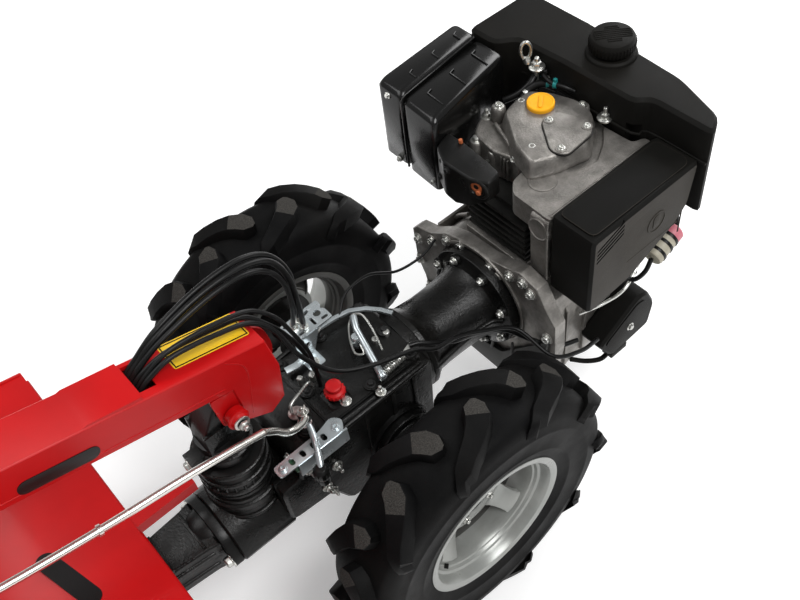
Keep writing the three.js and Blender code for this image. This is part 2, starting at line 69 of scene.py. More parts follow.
def material(name, color, rough, metal=0.0, vary=(0, 30), bump=None, rough_vary=0.0, coat=0.0, coat_rough=0.1,
             specular=0.5, dust=None, stretch=(1, 1, 1)):
    """Procedural look: vary is (amount, scale), bump (strength, scale) and dust (colour, scale, amount)."""
    m = bpy.data.materials.new(name)
    m.use_nodes = True
    nt = m.node_tree
    bsdf = nt.nodes["Principled BSDF"]
    link = nt.links.new
    for key, value in (("Base Color", (*color, 1)), ("Roughness", rough), ("Metallic", metal),
                       ("Specular IOR Level", specular), ("Coat Weight", coat),
                       ("Coat Roughness", coat_rough)):
        bsdf.inputs[key].default_value = value
    mapping = shader(nt, "Mapping", Scale=stretch)
    link(shader(nt, "TexCoord").outputs["Object"], mapping.inputs["Vector"])

    def noise(s, d=4.0, r=0.6):
        n = shader(nt, "TexNoise", Scale=s, Detail=d, Roughness=r)
        link(mapping.outputs["Vector"], n.inputs["Vector"])
        return n

    def ramp(source, stops):
        r = shader(nt, "ValToRGB")
        els = r.color_ramp.elements
        els[0].position, els[0].color = stops[0][0], (*stops[0][1], 1)
        els[1].position, els[1].color = stops[-1][0], (*stops[-1][1], 1)
        link(source, r.inputs["Fac"])
        return r

    color_out = None
    vary, scale = vary
    if vary:
        lo = tuple(c * (1 - vary) for c in color)
        hi = tuple(min(1, c * (1 + vary)) for c in color)
        color_out = ramp(noise(scale).outputs["Fac"], [(0.3, lo), (0.7, hi)]).outputs["Color"]
    if dust:
        dust, dust_scale, amount = dust
        mask = ramp(noise(dust_scale, 8, 0.7).outputs["Fac"],
                    [(0.5 - amount * 0.2, (0, 0, 0)), (0.75, (amount,) * 3)])
        mix = shader(nt, "Mix")
        mix.data_type = "RGBA"
        link(mask.outputs["Color"], mix.inputs["Factor"])
        if color_out:
            link(color_out, mix.inputs["A"])
        else:
            mix.inputs["A"].default_value = (*color, 1)
        mix.inputs["B"].default_value = (*dust, 1)
        color_out = mix.outputs["Result"]
    if color_out:
        link(color_out, bsdf.inputs["Base Color"])
    if rough_vary:
        r = ramp(noise(scale * 0.7, 6).outputs["Fac"],
                 [(0.3, (max(0.02, rough - rough_vary),) * 3), (0.7, (min(1, rough + rough_vary),) * 3)])
        link(r.outputs["Color"], bsdf.inputs["Roughness"])
    if bump:
        b = shader(nt, "Bump", Strength=bump[0], Distance=0.001)
        link(noise(bump[1], 3).outputs["Fac"], b.inputs["Height"])
        link(b.outputs["Normal"], bsdf.inputs["Normal"])
    return m


M = {
    "tyre": material("tyre_rubber", (0.0026, 0.0026, 0.0028), 0.58, vary=(0.35, 14), bump=(0.3, 420),
        dust=((0.010, 0.009, 0.0075), 7, 0.4), rough_vary=0.12, specular=0.08),
    "lug": material("tyre_lug_wear", (0.028, 0.026, 0.0235), 0.95, vary=(0.5, 620), bump=(1.0, 380),
        dust=((0.19, 0.18, 0.165), 520, 0.25), specular=0.2),
    "rim": material("rim_paint", (0.31, 0.32, 0.305), 0.34, 0.4, vary=(0.08, 14), bump=(0.06, 90),
        dust=((0.17, 0.155, 0.135), 6, 0.4), rough_vary=0.08),
    # Darker copy of the rim paint: painted shade for the wheels' inner sides and the arms' undersides; its
    # dust is real.
    "shaded_rim": material("dusty_rim_paint", (0.075, 0.075, 0.070), 0.5, 0.3, vary=(0.2, 14), bump=(0.1, 90),
        dust=((0.05, 0.045, 0.04), 6, 0.5), rough_vary=0.08),
    "red": material("red_enamel", (0.46, 0.0035, 0.0045), 0.34, vary=(0.12, 6), bump=(0.07, 110),
        rough_vary=0.07, specular=0.2, coat=0.1, coat_rough=0.14),
    "black": material("black_enamel", (0.0040, 0.0040, 0.0038), 0.36, vary=(0.35, 20), bump=(0.22, 160),
        dust=((0.03, 0.027, 0.023), 9, 0.22), rough_vary=0.12, specular=0.24),
    "casting": material("black_painted_casting", (0.0036, 0.0036, 0.0034), 0.31, vary=(0.5, 25),
        bump=(0.7, 210), dust=((0.03, 0.026, 0.022), 8, 0.22), rough_vary=0.16, specular=0.28),
    "plastic": material("black_moulded_plastic", (0.0060, 0.0058, 0.0052), 0.55, vary=(0.15, 9),
        bump=(0.25, 900), dust=((0.016, 0.014, 0.011), 4, 0.35), rough_vary=0.06, specular=0.09),
    # Lighter copy of the black plastic with dust: painted light for the faces that look to the right.
    "dusty": material("dusty_moulded_plastic", (0.026, 0.0225, 0.018), 0.55, vary=(0.2, 9), bump=(0.25, 900),
        dust=((0.05, 0.043, 0.035), 5, 0.5), rough_vary=0.06, specular=0.13),
    "gloss": material("gloss_black_enamel", (0.0026, 0.0026, 0.0025), 0.24, vary=(0.3, 12), bump=(0.3, 45),
        rough_vary=0.06, specular=0.3, coat=0.1),
    "cast": material("cast_aluminium", (0.30, 0.285, 0.265), 0.42, 0.7, vary=(0.38, 26), bump=(0.8, 320),
        dust=((0.045, 0.039, 0.033), 14, 0.7), rough_vary=0.14, specular=0.4),
    "zinc": material("zinc_plate", (0.56, 0.61, 0.63), 0.3, 0.85, vary=(0.14, 25), bump=(0.06, 150),
        rough_vary=0.12),
    "chrome": material("plated_rod", (0.68, 0.66, 0.62), 0.24, 0.95, vary=(0.10, 40), rough_vary=0.08,
        stretch=(0.2, 1, 1)),
    "rubber": material("black_cable_sheath", (0.0045, 0.0045, 0.0045), 0.36, vary=(0.25, 40),
        bump=(0.12, 300), rough_vary=0.08, specular=0.22),
    "orange": material("orange_moulded_cap", (0.88, 0.40, 0.012), 0.45, vary=(0.12, 30), bump=(0.12, 300),
        rough_vary=0.06, specular=0.2),
    "redcap": material("red_moulded_cap", (0.50, 0.008, 0.010), 0.42, vary=(0.12, 30), bump=(0.08, 200),
        specular=0.25),
    "steel": material("worn_black_steel", (0.022, 0.020, 0.018), 0.45, 0.4, vary=(0.5, 16), bump=(0.3, 120),
        dust=((0.16, 0.14, 0.12), 14, 0.3), rough_vary=0.12),
    "fins": material("dark_cooling_fins", (0.018, 0.0175, 0.016), 0.5, 0.4, vary=(0.35, 30), bump=(0.3, 250),
        specular=0.3),
    "steelbolt": material("zinc_fastener", (0.60, 0.60, 0.57), 0.3, 0.95, vary=(0.15, 60), bump=(0.08, 300),
        rough_vary=0.08),
    "darkbolt": material("black_oxide_fastener", (0.022, 0.022, 0.022), 0.35, 0.5, vary=(0.2, 60),
        rough_vary=0.1),
    "darkcast": material("dark_grey_casting", (0.030, 0.030, 0.028), 0.5, 0.2, vary=(0.25, 20),
        bump=(0.3, 200)),
    "rust": material("heated_steel", (0.42, 0.11, 0.035), 0.6, 0.2, vary=(0.35, 90), bump=(0.3, 400)),
    "teal": material("teal_clamp", (0.01, 0.20, 0.20), 0.4, 0.3, vary=(0.15, 50)),
    "cream": material("cream_filter_paper", (0.40, 0.37, 0.29), 0.5, vary=(0.12, 90), bump=(0.2, 200)),
    "pink": material("pink_moulded_cap", (0.55, 0.16, 0.20), 0.45, vary=(0.12, 50)),
    "yellow": material("yellow_label", (0.95, 0.60, 0.02), 0.35, vary=(0.03, 12), coat=0.3),
    "label_black": material("black_label", (0.006, 0.005, 0.005), 0.34, vary=(0.3, 20), specular=0.25),
    "green": material("green_passivated", (0.16, 0.30, 0.20), 0.3, 0.8, vary=(0.2, 60)),
    "pinkzinc": material("rose_passivated", (0.62, 0.50, 0.48), 0.28, 0.9, vary=(0.1, 60)),
}
SLOT_LOOK = {
    "tyre": "tyre", "rim_grey": "rim", "red_paint": "red", "black_paint": "black", "black_casting": "casting",
    "grey_casting": "cast", "black_plastic": "plastic", "gloss_black": "gloss", "zinc": "zinc",
    "chrome_rod": "chrome", "black_rubber": "rubber", "orange_plastic": "orange", "red_plastic": "redcap",
    "worn_steel": "steel", "fins": "fins",
}
for entry in frame["record"]["subparts"]:
    node = frame["nodes"][entry["node"]]
    for slot in node.material_slots:
        slot.material = M[SLOT_LOOK[entry["material_slot"]]]

# ---------- shapes, in millimetres from the wheel axle's middle plane ----------
class Shape:
    """Closed bodies gathered into one mesh. Each face keeps the number of its material."""

    def __init__(self):
        self.clear()

    def clear(self):
        self.verts, self.faces, self.mats = [], [], []

    def put(self, verts, faces, mat=0):
        n = len(self.verts)
        self.verts += [Vector(v) for v in verts]
        self.faces += [[i + n for i in f] for f in faces]
        self.mats += mat if isinstance(mat, list) else [mat] * len(faces)


def basis(direction):
    """Two directions square to the given one, and that one."""
    d = Vector(direction).normalized()
    h = Vector(FRONT if abs(d.z) > 0.95 else UP)
    a = (h - d * d.dot(h)).normalized()
    return a, d.cross(a), d


def lathe(s, profile, at, direction, n=24, spin=0.0):
    """Profile of (radius, height) pairs turned about a line; its ends are closed."""
    a, b, d = basis(direction)
    o = Vector(at)
    verts, faces = [], []
    for r, h in profile:
        for i in range(n):
            t = spin + 2 * pi * i / n
            verts.append(o + d * h + (a * cos(t) + b * sin(t)) * r)
    m = len(profile)
    for j in range(m - 1):
        for i in range(n):
            k = (i + 1) % n
            faces.append([j * n + i, j * n + k, (j + 1) * n + k, (j + 1) * n + i])
    faces.append(list(range(n)))
    faces.append([(m - 1) * n + i for i in range(n)])
    s.put(verts, faces)


def post(s, x, y, profile, n=24):
    """Upright turned piece; profile gives (radius, Z)."""
    lathe(s, profile, (x, y, 0), UP, n)


def ring(s, profile, at, direction, n=48):
    """Closed (radius, height) profile turned about a line."""
    a, b, d = basis(direction)
    o = Vector(at)
    verts, faces = [], []
    m = len(profile)
    for i in range(n):
        t = 2 * pi * i / n
        verts += [o + d * h + (a * cos(t) + b * sin(t)) * r for r, h in profile]
    for i in range(n):
        k = (i + 1) % n
        for j in range(m):
            l = (j + 1) % m
            faces.append([i * m + j, i * m + l, k * m + l, k * m + j])
    s.put(verts, faces)


def plate(s, outline, axis, lo, hi, holes=(), mat=0, place=None):
    """Flat sheet: an outline with holes pushed along an axis. place turns it afterwards."""
    loops = [list(outline)] + [list(h) for h in holes]
    flat = [p for loop in loops for p in loop]
    tris = tessellate_polygon([[Vector((p[0], p[1], 0)) for p in loop] for loop in loops])
    n = len(flat)

    def point(p, h):
        return {"x": (h, p[0], p[1]), "y": (p[0], h, p[1]), "z": (p[0], p[1], h)}[axis]

    verts = [Vector(point(p, lo)) for p in flat] + [Vector(point(p, hi)) for p in flat]
    if place is not None:
        verts = [place @ v for v in verts]
    if holes:
        faces = [list(t) for t in tris] + [[i + n for i in t] for t in tris]
    else:
        faces = [list(range(n)), [i + n for i in range(n)]]
    at = 0
    for loop in loops:
        m = len(loop)
        for i in range(m):
            k = (i + 1) % m
            faces.append([at + i, at + k, at + k + n, at + i + n])
        at += m
    s.put(verts, faces, mat)


def loft(s, loops, mat=0):
    """Closed body through loops that have the same number of points."""
    n, m = len(loops[0]), len(loops)
    faces = [[i * n + j, i * n + (j + 1) % n, (i + 1) * n + (j + 1) % n, (i + 1) * n + j]
             for i in range(m - 1) for j in range(n)]
    faces += [list(range(n)), [(m - 1) * n + j for j in range(n)]]
    s.put([p for loop in loops for p in loop], faces, mat)


def pillow(s, outline, steps):
    """Body with a plan outline; steps are (height, distance drawn in) from bottom to top."""
    cx = sum(p[0] for p in outline) / len(outline)
    cy = sum(p[1] for p in outline) / len(outline)
    hx = max(abs(p[0] - cx) for p in outline)
    hy = max(abs(p[1] - cy) for p in outline)
    loft(s, [[(cx + (x - cx) * (1 - d / hx), cy + (y - cy) * (1 - d / hy), z) for x, y in outline]
             for z, d in steps])


def strip(s, pts, w, lo, hi):
    """Flat bar lying level along a bent line in plan."""
    left, right = [], []
    for i, p in enumerate(pts):
        d = (Vector(pts[min(i + 1, len(pts) - 1)]) - Vector(pts[max(i - 1, 0)])).normalized() * w / 2
        left.append((p[0] - d.y, p[1] + d.x))
        right.append((p[0] + d.y, p[1] - d.x))
    plate(s, left + right[::-1], "z", lo, hi)


def block(s, x0, x1, y0, y1, z0, z1):
    plate(s, [(x0, y0), (x1, y0), (x1, y1), (x0, y1)], "z", z0, z1)


def curve(points, steps=8):
    """Smooth line through points."""
    p = [Vector(q) for q in points]
    p = [p[0] * 2 - p[1]] + p + [p[-1] * 2 - p[-2]]
    out = []
    for i in range(1, len(p) - 2):
        for j in range(steps):
            t = j / steps
            out.append(0.5 * (2 * p[i] + (p[i + 1] - p[i - 1]) * t
                              + (2 * p[i - 1] - 5 * p[i] + 4 * p[i + 1] - p[i + 2]) * t * t
                              + (3 * p[i] - p[i - 1] - 3 * p[i + 1] + p[i + 2]) * t ** 3))
    return out + [p[-2]]


def tube(s, points, r, n=10, steps=8, flat=1.0):
    """Round bar or hose along points, in a smooth line; r is one radius or a list spread over the length."""
    line = curve(points, steps) if steps else [Vector(p) for p in points]
    m = len(line)
    verts, faces = [], []
    t0 = (line[1] - line[0]).normalized()
    a, b, _ = basis(t0)
    for i, p in enumerate(line):
        t = (line[min(i + 1, m - 1)] - line[max(i - 1, 0)]).normalized()
        q = t0.rotation_difference(t)
        a, b, t0 = q @ a, q @ b, t
        if isinstance(r, (list, tuple)):
            f = i / (m - 1) * (len(r) - 1)
            k = min(int(f), len(r) - 2)
            rr = r[k] + (r[k + 1] - r[k]) * (f - k)
        else:
            rr = r
        for j in range(n):
            w = 2 * pi * j / n
            verts.append(p + a * cos(w) * rr * flat + b * sin(w) * rr)
    for i in range(m - 1):
        for j in range(n):
            k = (j + 1) % n
            faces.append([i * n + j, i * n + k, (i + 1) * n + k, (i + 1) * n + j])
    faces.append(list(range(n)))
    faces.append([(m - 1) * n + j for j in range(n)])
    s.put(verts, faces)


def bar(s, points, r, n=10):
    """Bar with straight stretches between its points."""
    tube(s, points, r, n, 0)


def knurl(s, x, y, rows, r, count, steps=0):
    """Upright grip ribs round a cap; rows are (radius, height)."""
    for i in range(count):
        t = 2 * pi * i / count
        c, sn = cos(t), sin(t)
        tube(s, [(x + q * c, y + q * sn, z) for q, z in rows], r, 6, steps)


def bolt(s, at, direction, r=6.5, h=5.5, kind="hex", washer=True):
    """Bolt head of a radius and a height, standing on a surface at a point."""
    d = Vector(direction).normalized()
    o = Vector(at)
    spin = rng.uniform(0, 1)
    base = 0.0
    if washer:
        lathe(s, [(r * 1.45, -1.5), (r * 1.45, 0.9), (r * 1.35, 1.3)], o, d, 20)
        base = 1.2
    if kind == "hex":
        lathe(s, [(r, base - 1), (r, base + h * 0.8), (r * 0.86, base + h)], o, d, 6, spin)
        lathe(s, [(r * 0.78, base + h - 0.6), (r * 0.74, base + h + 0.5)], o, d, 18)
    else:
        prof = [(r, base - 1), (r, base + h * 0.85), (r * 0.88, base + h), (r * 0.52, base + h),
                (r * 0.5, base + h * 0.35)]
        lathe(s, prof, o, d, 18)


def nut(s, at, direction, r=7, h=6, stud=4):
    """Nut with a washer, and the end of its stud."""
    bolt(s, at, direction, r, h)
    lathe(s, [(r * 0.5, 0), (r * 0.5, h + stud), (r * 0.36, h + stud + 1.5)], at, direction, 12)


def spring(s, p, q, r, wire, turns):
    """Coil spring from one point to another."""
    a, b, d = basis(Vector(q) - Vector(p))
    length = (Vector(q) - Vector(p)).length
    m = int(turns * 14)
    pts = [Vector(p) + d * length * i / m + (a * cos(2 * pi * turns * i / m)
                                             + b * sin(2 * pi * turns * i / m)) * r
           for i in range(m + 1)]
    bar(s, pts, wire, 6)


def soft(outline, r, n=3):
    """Outline with its corners rounded."""
    out = []
    m = len(outline)
    for i, p in enumerate(outline):
        p, a, b = Vector(p), Vector(outline[i - 1]), Vector(outline[(i + 1) % m])
        la, lb = (a - p).length, (b - p).length
        k = min(r, la / 2.1, lb / 2.1)
        u, v = p + (a - p) * k / la, p + (b - p) * k / lb
        for j in range(n + 1):
            t = j / n
            out.append(tuple(u * (1 - t) ** 2 + p * 2 * t * (1 - t) + v * t * t))
    return out


def circle(cx, cy, r, n=24):
    return [(cx + r * cos(2 * pi * i / n), cy + r * sin(2 * pi * i / n))
            for i in range(n)]


def pill(cx, cy, half, r, tilt=0.0, n=10):
    """Round-ended slot: half its straight length, its end radius and its tilt."""
    pts = []
    for side in (1, -1):
        for i in range(n + 1):
            t = -pi / 2 + pi * i / n
            x, y = side * half + side * r * cos(t), side * r * sin(t)
            pts.append((cx + x * cos(tilt) - y * sin(tilt), cy + x * sin(tilt)
                        + y * cos(tilt)))
    return pts


# ---------- from shapes to pieces ----------
def finish_mesh(bm, name, looks, bevel, segments, sharp):
    """Rounds the edges by bevel mm, shades smooth up to the sharp angle and makes the object."""
    bmesh.ops.recalc_face_normals(bm, faces=bm.faces)
    if bevel:
        edges = [e for e in bm.edges if len(e.link_faces) == 2 and e.calc_face_angle(0) > radians(28)]
        bmesh.ops.bevel(bm, geom=edges, offset=bevel * 0.001, segments=segments, profile=0.6, affect="EDGES",
                        clamp_overlap=True)
    for f in bm.faces:
        f.smooth = True
    for e in bm.edges:
        e.smooth = len(e.link_faces) == 2 and e.calc_face_angle(0) < radians(sharp)
    me = bpy.data.meshes.new(name)
    bm.to_mesh(me)
    bm.free()
    for look in looks:
        me.materials.append(M[look])
    ob = bpy.data.objects.new(name, me)
    bpy.context.collection.objects.link(ob)
    return ob


def settle(ob, body, nodes=()):
    """Puts a piece on its body; one meant to lie between two bodies only gets its transform baked. Hides the
    nodes it stands for.
    """
    if isinstance(body, str):
        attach(ob, body)
    else:
        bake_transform(ob)
    if nodes:
        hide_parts(*nodes)


SLOT_OF = {look: slot for slot, look in SLOT_LOOK.items()}
SLOT_OF.update(lug="tyre", dusty="black_plastic", steelbolt="zinc")


def to_part(p):
    """Point in metres in the part's frame."""
    return Vector(((p[0] + SHIFT) / 1000, p[1] / 1000, (p[2] + RISE) / 1000))


def piece(name, s, looks, body="chassis", bevel=0.0, segments=2, nodes=(), sharp=38):
    """Makes the mesh object, in metres in the part's frame, and empties the shape for the next piece."""
    looks = [looks] if isinstance(looks, str) else looks
    bm = bmesh.new()
    for v in s.verts:
        bm.verts.new(to_part(v))
    bm.verts.ensure_lookup_table()
    for f, mat in zip(s.faces, s.mats):
        if len(set(f)) > 2:
            bm.faces.new([bm.verts[i] for i in f]).material_index = mat
    ob = finish_mesh(bm, name, looks, bevel, segments, sharp)
    settle(ob, body, nodes)
    s.clear()


def refined(node, look, bevel=2.0, segments=2, body="chassis", side_look=None, sharp=38):
    """The CAD node's own shape with its edges rounded and its curved faces smooth; side_look is for the faces
    that look to the right."""
    src = frame["nodes"][node]
    bm = bmesh.new()
    bm.from_mesh(src.data)
    bmesh.ops.remove_doubles(bm, verts=bm.verts, dist=1e-5)
    bmesh.ops.dissolve_limit(bm, angle_limit=radians(1.2), verts=bm.verts, edges=bm.edges)
    if side_look:
        bm.normal_update()
        for face in bm.faces:
            face.material_index = 1 if face.normal.y < -0.9 else 0
    looks = [look, side_look] if side_look else [look]
    ob = finish_mesh(bm, node + "_body", looks, bevel, segments, sharp)
    settle(ob, body, (node,))


# ---------- wheels ----------
MEAN = 262        # mean radius of the tread


def wheel(side):
    word = "left" if side > 0 else "right"
    body = "wheel_" + word
    y0 = side * TRACK / 2
    centre = Vector((0, y0, AXLE))
    axis = Vector((0, side, 0))

    def at(r, angle, a):
        """Point at a radius, an angle in degrees from straight down to the front, and a distance outwards."""
        t = radians(angle)
        return centre + Vector((r * sin(t), side * a, -r * cos(t)))

    tyre = Shape()
    half = [(127.8, 40), (127.8, 52), (133, 55.5), (143, 57.4), (150, 60), (160, 62.4), (162, 63.6),
            (165, 63.8), (167, 62.9), (186, 64.8), (200, 65.6), (203, 66.6), (206, 66.5), (208, 65.4),
            (222, 64.2), (234, 60.5), (243, 54), (247.5, 45), (248.5, 25)]
    prof = half + [(249, 0)] + [(r, -a) for r, a in reversed(half)]
    prof += [(150, -46), (182, -54), (238, -40), (238, 40), (182, 54), (150, 46)]
    ring(tyre, prof, centre, axis, 96)
    # Each lug runs from near the middle of the tread over the shoulder, ten a side.
    starts = {1: {1: 72.0, -1: 54.0}, -1: {1: 103.0, -1: 85.0}}[side]
    for out in (1, -1):
        for k in range(10):
            phi0 = starts[out] + 36 * k + rng.uniform(-0.5, 0.5)
            lug(tyre, at, phi0, out, 2 if k % 3 else 3)
    piece("tyre_tread_" + word, tyre, ["tyre", "lug"], body, 0, nodes=("tyre_" + word,), sharp=33)

    rim = Shape()
    out = [(139.5, 58.0), (139.5, 56.6), (134, 54.8), (128.4, 53.2), (126.6, 50), (126.2, 40), (125.6, 34),
           (121, 31), (114, 27), (111.5, 22), (111, 10)]
    inn = [(107.8, 10), (108.3, 23), (110.6, 29.5), (114, 31), (116, 36), (120.4, 38.4), (122.4, 44),
           (123.6, 51), (126.4, 56), (131.5, 58), (137, 58.7)]
    barrel = out + [(r, -a) for r, a in reversed(out)] + [(r, -a) for r, a in reversed(inn)] + inn
    ring(rim, barrel, centre, axis, 96)
    for i, face in enumerate(rim.faces):        # the side towards the machine gets the darker rim paint: painted shade
        if side * (sum(rim.verts[k].y for k in face) / len(face) - y0) < -9:
            rim.mats[i] = 1
    # Dished disc: a centre plate with bolt holes, and four flanged arms that rise to the barrel's outer side.
    bolts = [radians(36 + 72 * k) for k in range(5)]
    holes = [circle(49 * cos(t), 49 * sin(t), 5.6, 12) for t in bolts] + [circle(0, 0, 31, 40)]
    place = Matrix.Translation(centre) @ Matrix.Scale(side, 4, (0, 1, 0))
    plate(rim, circle(0, 0, 70, 64), "y", -11.6, -8, holes, place=place)
    ring(rim, [(74, -9), (70, -4.6), (64, -4.6), (60, -8)], centre, axis, 64)
    for k in range(4):
        t = radians(45 + 90 * k)
        a, b = Vector((cos(t), 0, sin(t))), Vector((-sin(t), 0, cos(t)))
        stations = [(62, -8, 28, 5), (70, -7, 26, 7), (78, -3, 23, 9), (86, 4, 21, 11), (94, 12, 20, 12),
                    (102, 19, 21, 11), (108, 23, 24, 8), (110.6, 24, 26, 6)]
        loops = []
        for r, h, w, lip in stations:
            section = [(-w, -lip), (-w, -1), (-w + 3, 0), (w - 3, 0), (w, -1), (w, -lip), (w - 3, -lip),
                       (w - 3, -3), (-w + 3, -3), (-w + 3, -lip)]
            loops.append([centre + a * r + b * x + Vector((0, side * (h + y), 0)) for x, y in section])
        # Faces under the arms and inside their flanges take the darker rim paint: painted shade.
        loft(rim, loops, ([0] * 5 + [1] * 5) * (len(stations) - 1) + [0, 0])
    tube(rim, [at(118, 270, 36), at(113, 270, 44), at(106, 270, 52)], 3.6, 10, 4)
    piece("rim_wheel_" + word, rim, ["rim", "shaded_rim"], body, 0, nodes=("rim_" + word,), sharp=30)
    valve = Shape()
    bar(valve, [at(108, 270, 50), at(104, 270, 55)], 4.2, 12)
    piece("valve_cap_" + word, valve, ["plastic"], body, 0)

    nuts = Shape()
    for k in range(5):
        t = radians(36 + 72 * k)
        p = centre + Vector((49 * cos(t), side * -8, 49 * sin(t)))
        nut(nuts, p, axis, 8.5, 8, 5)
    piece("wheel_nuts_" + word, nuts, ["steelbolt"], body, 0.5)
    hub = Shape()
    lathe(hub, [(20, -67), (34, -62), (34, -24), (62, -20), (62, -13), (60, -12.3), (30, -12.2), (30, 0),
                (28, 1.9)], centre, axis, 40)
    lathe(hub, [(13, 0), (13, 1.9), (10, 1.9), (9, -6)], centre, axis)
    piece("hub_turned_" + word, hub, ["black"], body, 0.8, nodes=("hub_" + word,))


def lug(s, at, phi0, out, worn):
    """One bar of the tread. phi grows towards the shoulder; the first rows, worn of them, are rubbed."""
    rows = [  # along, across, half width, top radius, base radius
        (-14, -0.7, 4.0, 270.4, 243), (-4, 0.5, 16.5, 271.7, 242), (12, 2.2, 18.6, 272.0, 242),
        (25, 5.2, 17.0, 271.2, 241), (36, 9.0, 15.0, 268.6, 240), (47, 14.0, 13.4, 264.4, 238),
        (56, 18.4, 13.0, 258.2, 234), (62.5, 21.2, 13.2, 250.2, 228), (67.4, 22.8, 13.0, 240.0, 222),
        (69.0, 23.4, 12.0, 228.0, 218)]
    rows = [(a, p + rng.uniform(-0.25, 0.25), w, rt + rng.uniform(-0.5, 0.3), rb) for a, p, w, rt, rb in rows]
    loops = []
    last = len(rows) - 1
    for i, (a, p, w, rt, rb) in enumerate(rows):
        before, after = rows[max(i - 1, 0)], rows[min(i + 1, last)]
        du, da = (after[1] - before[1]) * pi / 180 * MEAN, after[0] - before[0]
        k = hypot(du, da)
        nu, na = da / k, -du / k      # across the lug, in the developed tread
        if a > 60:
            na *= 0.3
        section = ((-1.3, rb), (-1.03, rt - 2.2), (-0.92, rt), (0, rt + 0.4), (0.92, rt), (1.03, rt - 2.2),
                   (1.3, rb))
        loops.append([at(r, phi0 + p + degrees(g * w * nu / MEAN), out * (a + g * w * na))
                      for g, r in section])
    mats = [1 if j in (2, 3) and i < worn else 0 for i in range(last) for j in range(7)]
    loft(s, loops, mats + [0, 0])


for side in (1, -1):
    wheel(side)


# ---------- engine ----------
# Outlines of the crankcase's rear flange (Y, Z) and the rocker cover's foot (X, Y), and the tank cap's place.
FLANGE = [(188, 345), (184, 265), (165, 226), (150, 150), (128, 122), (-150, 122), (-176, 226), (-186, 300),
          (-184, 372), (-164, 396), (-140, 438), (-100, 448), (-70, 436), (-20, 422), (50, 418), (92, 402),
          (136, 370), (176, 358)]
COVER_OUT = [(427, 86), (379, 12), (364, -45), (397, -62), (473, -82), (540, -30), (545, 12), (529, 61),
             (503, 98), (450, 94)]
CAP = (622, 14)


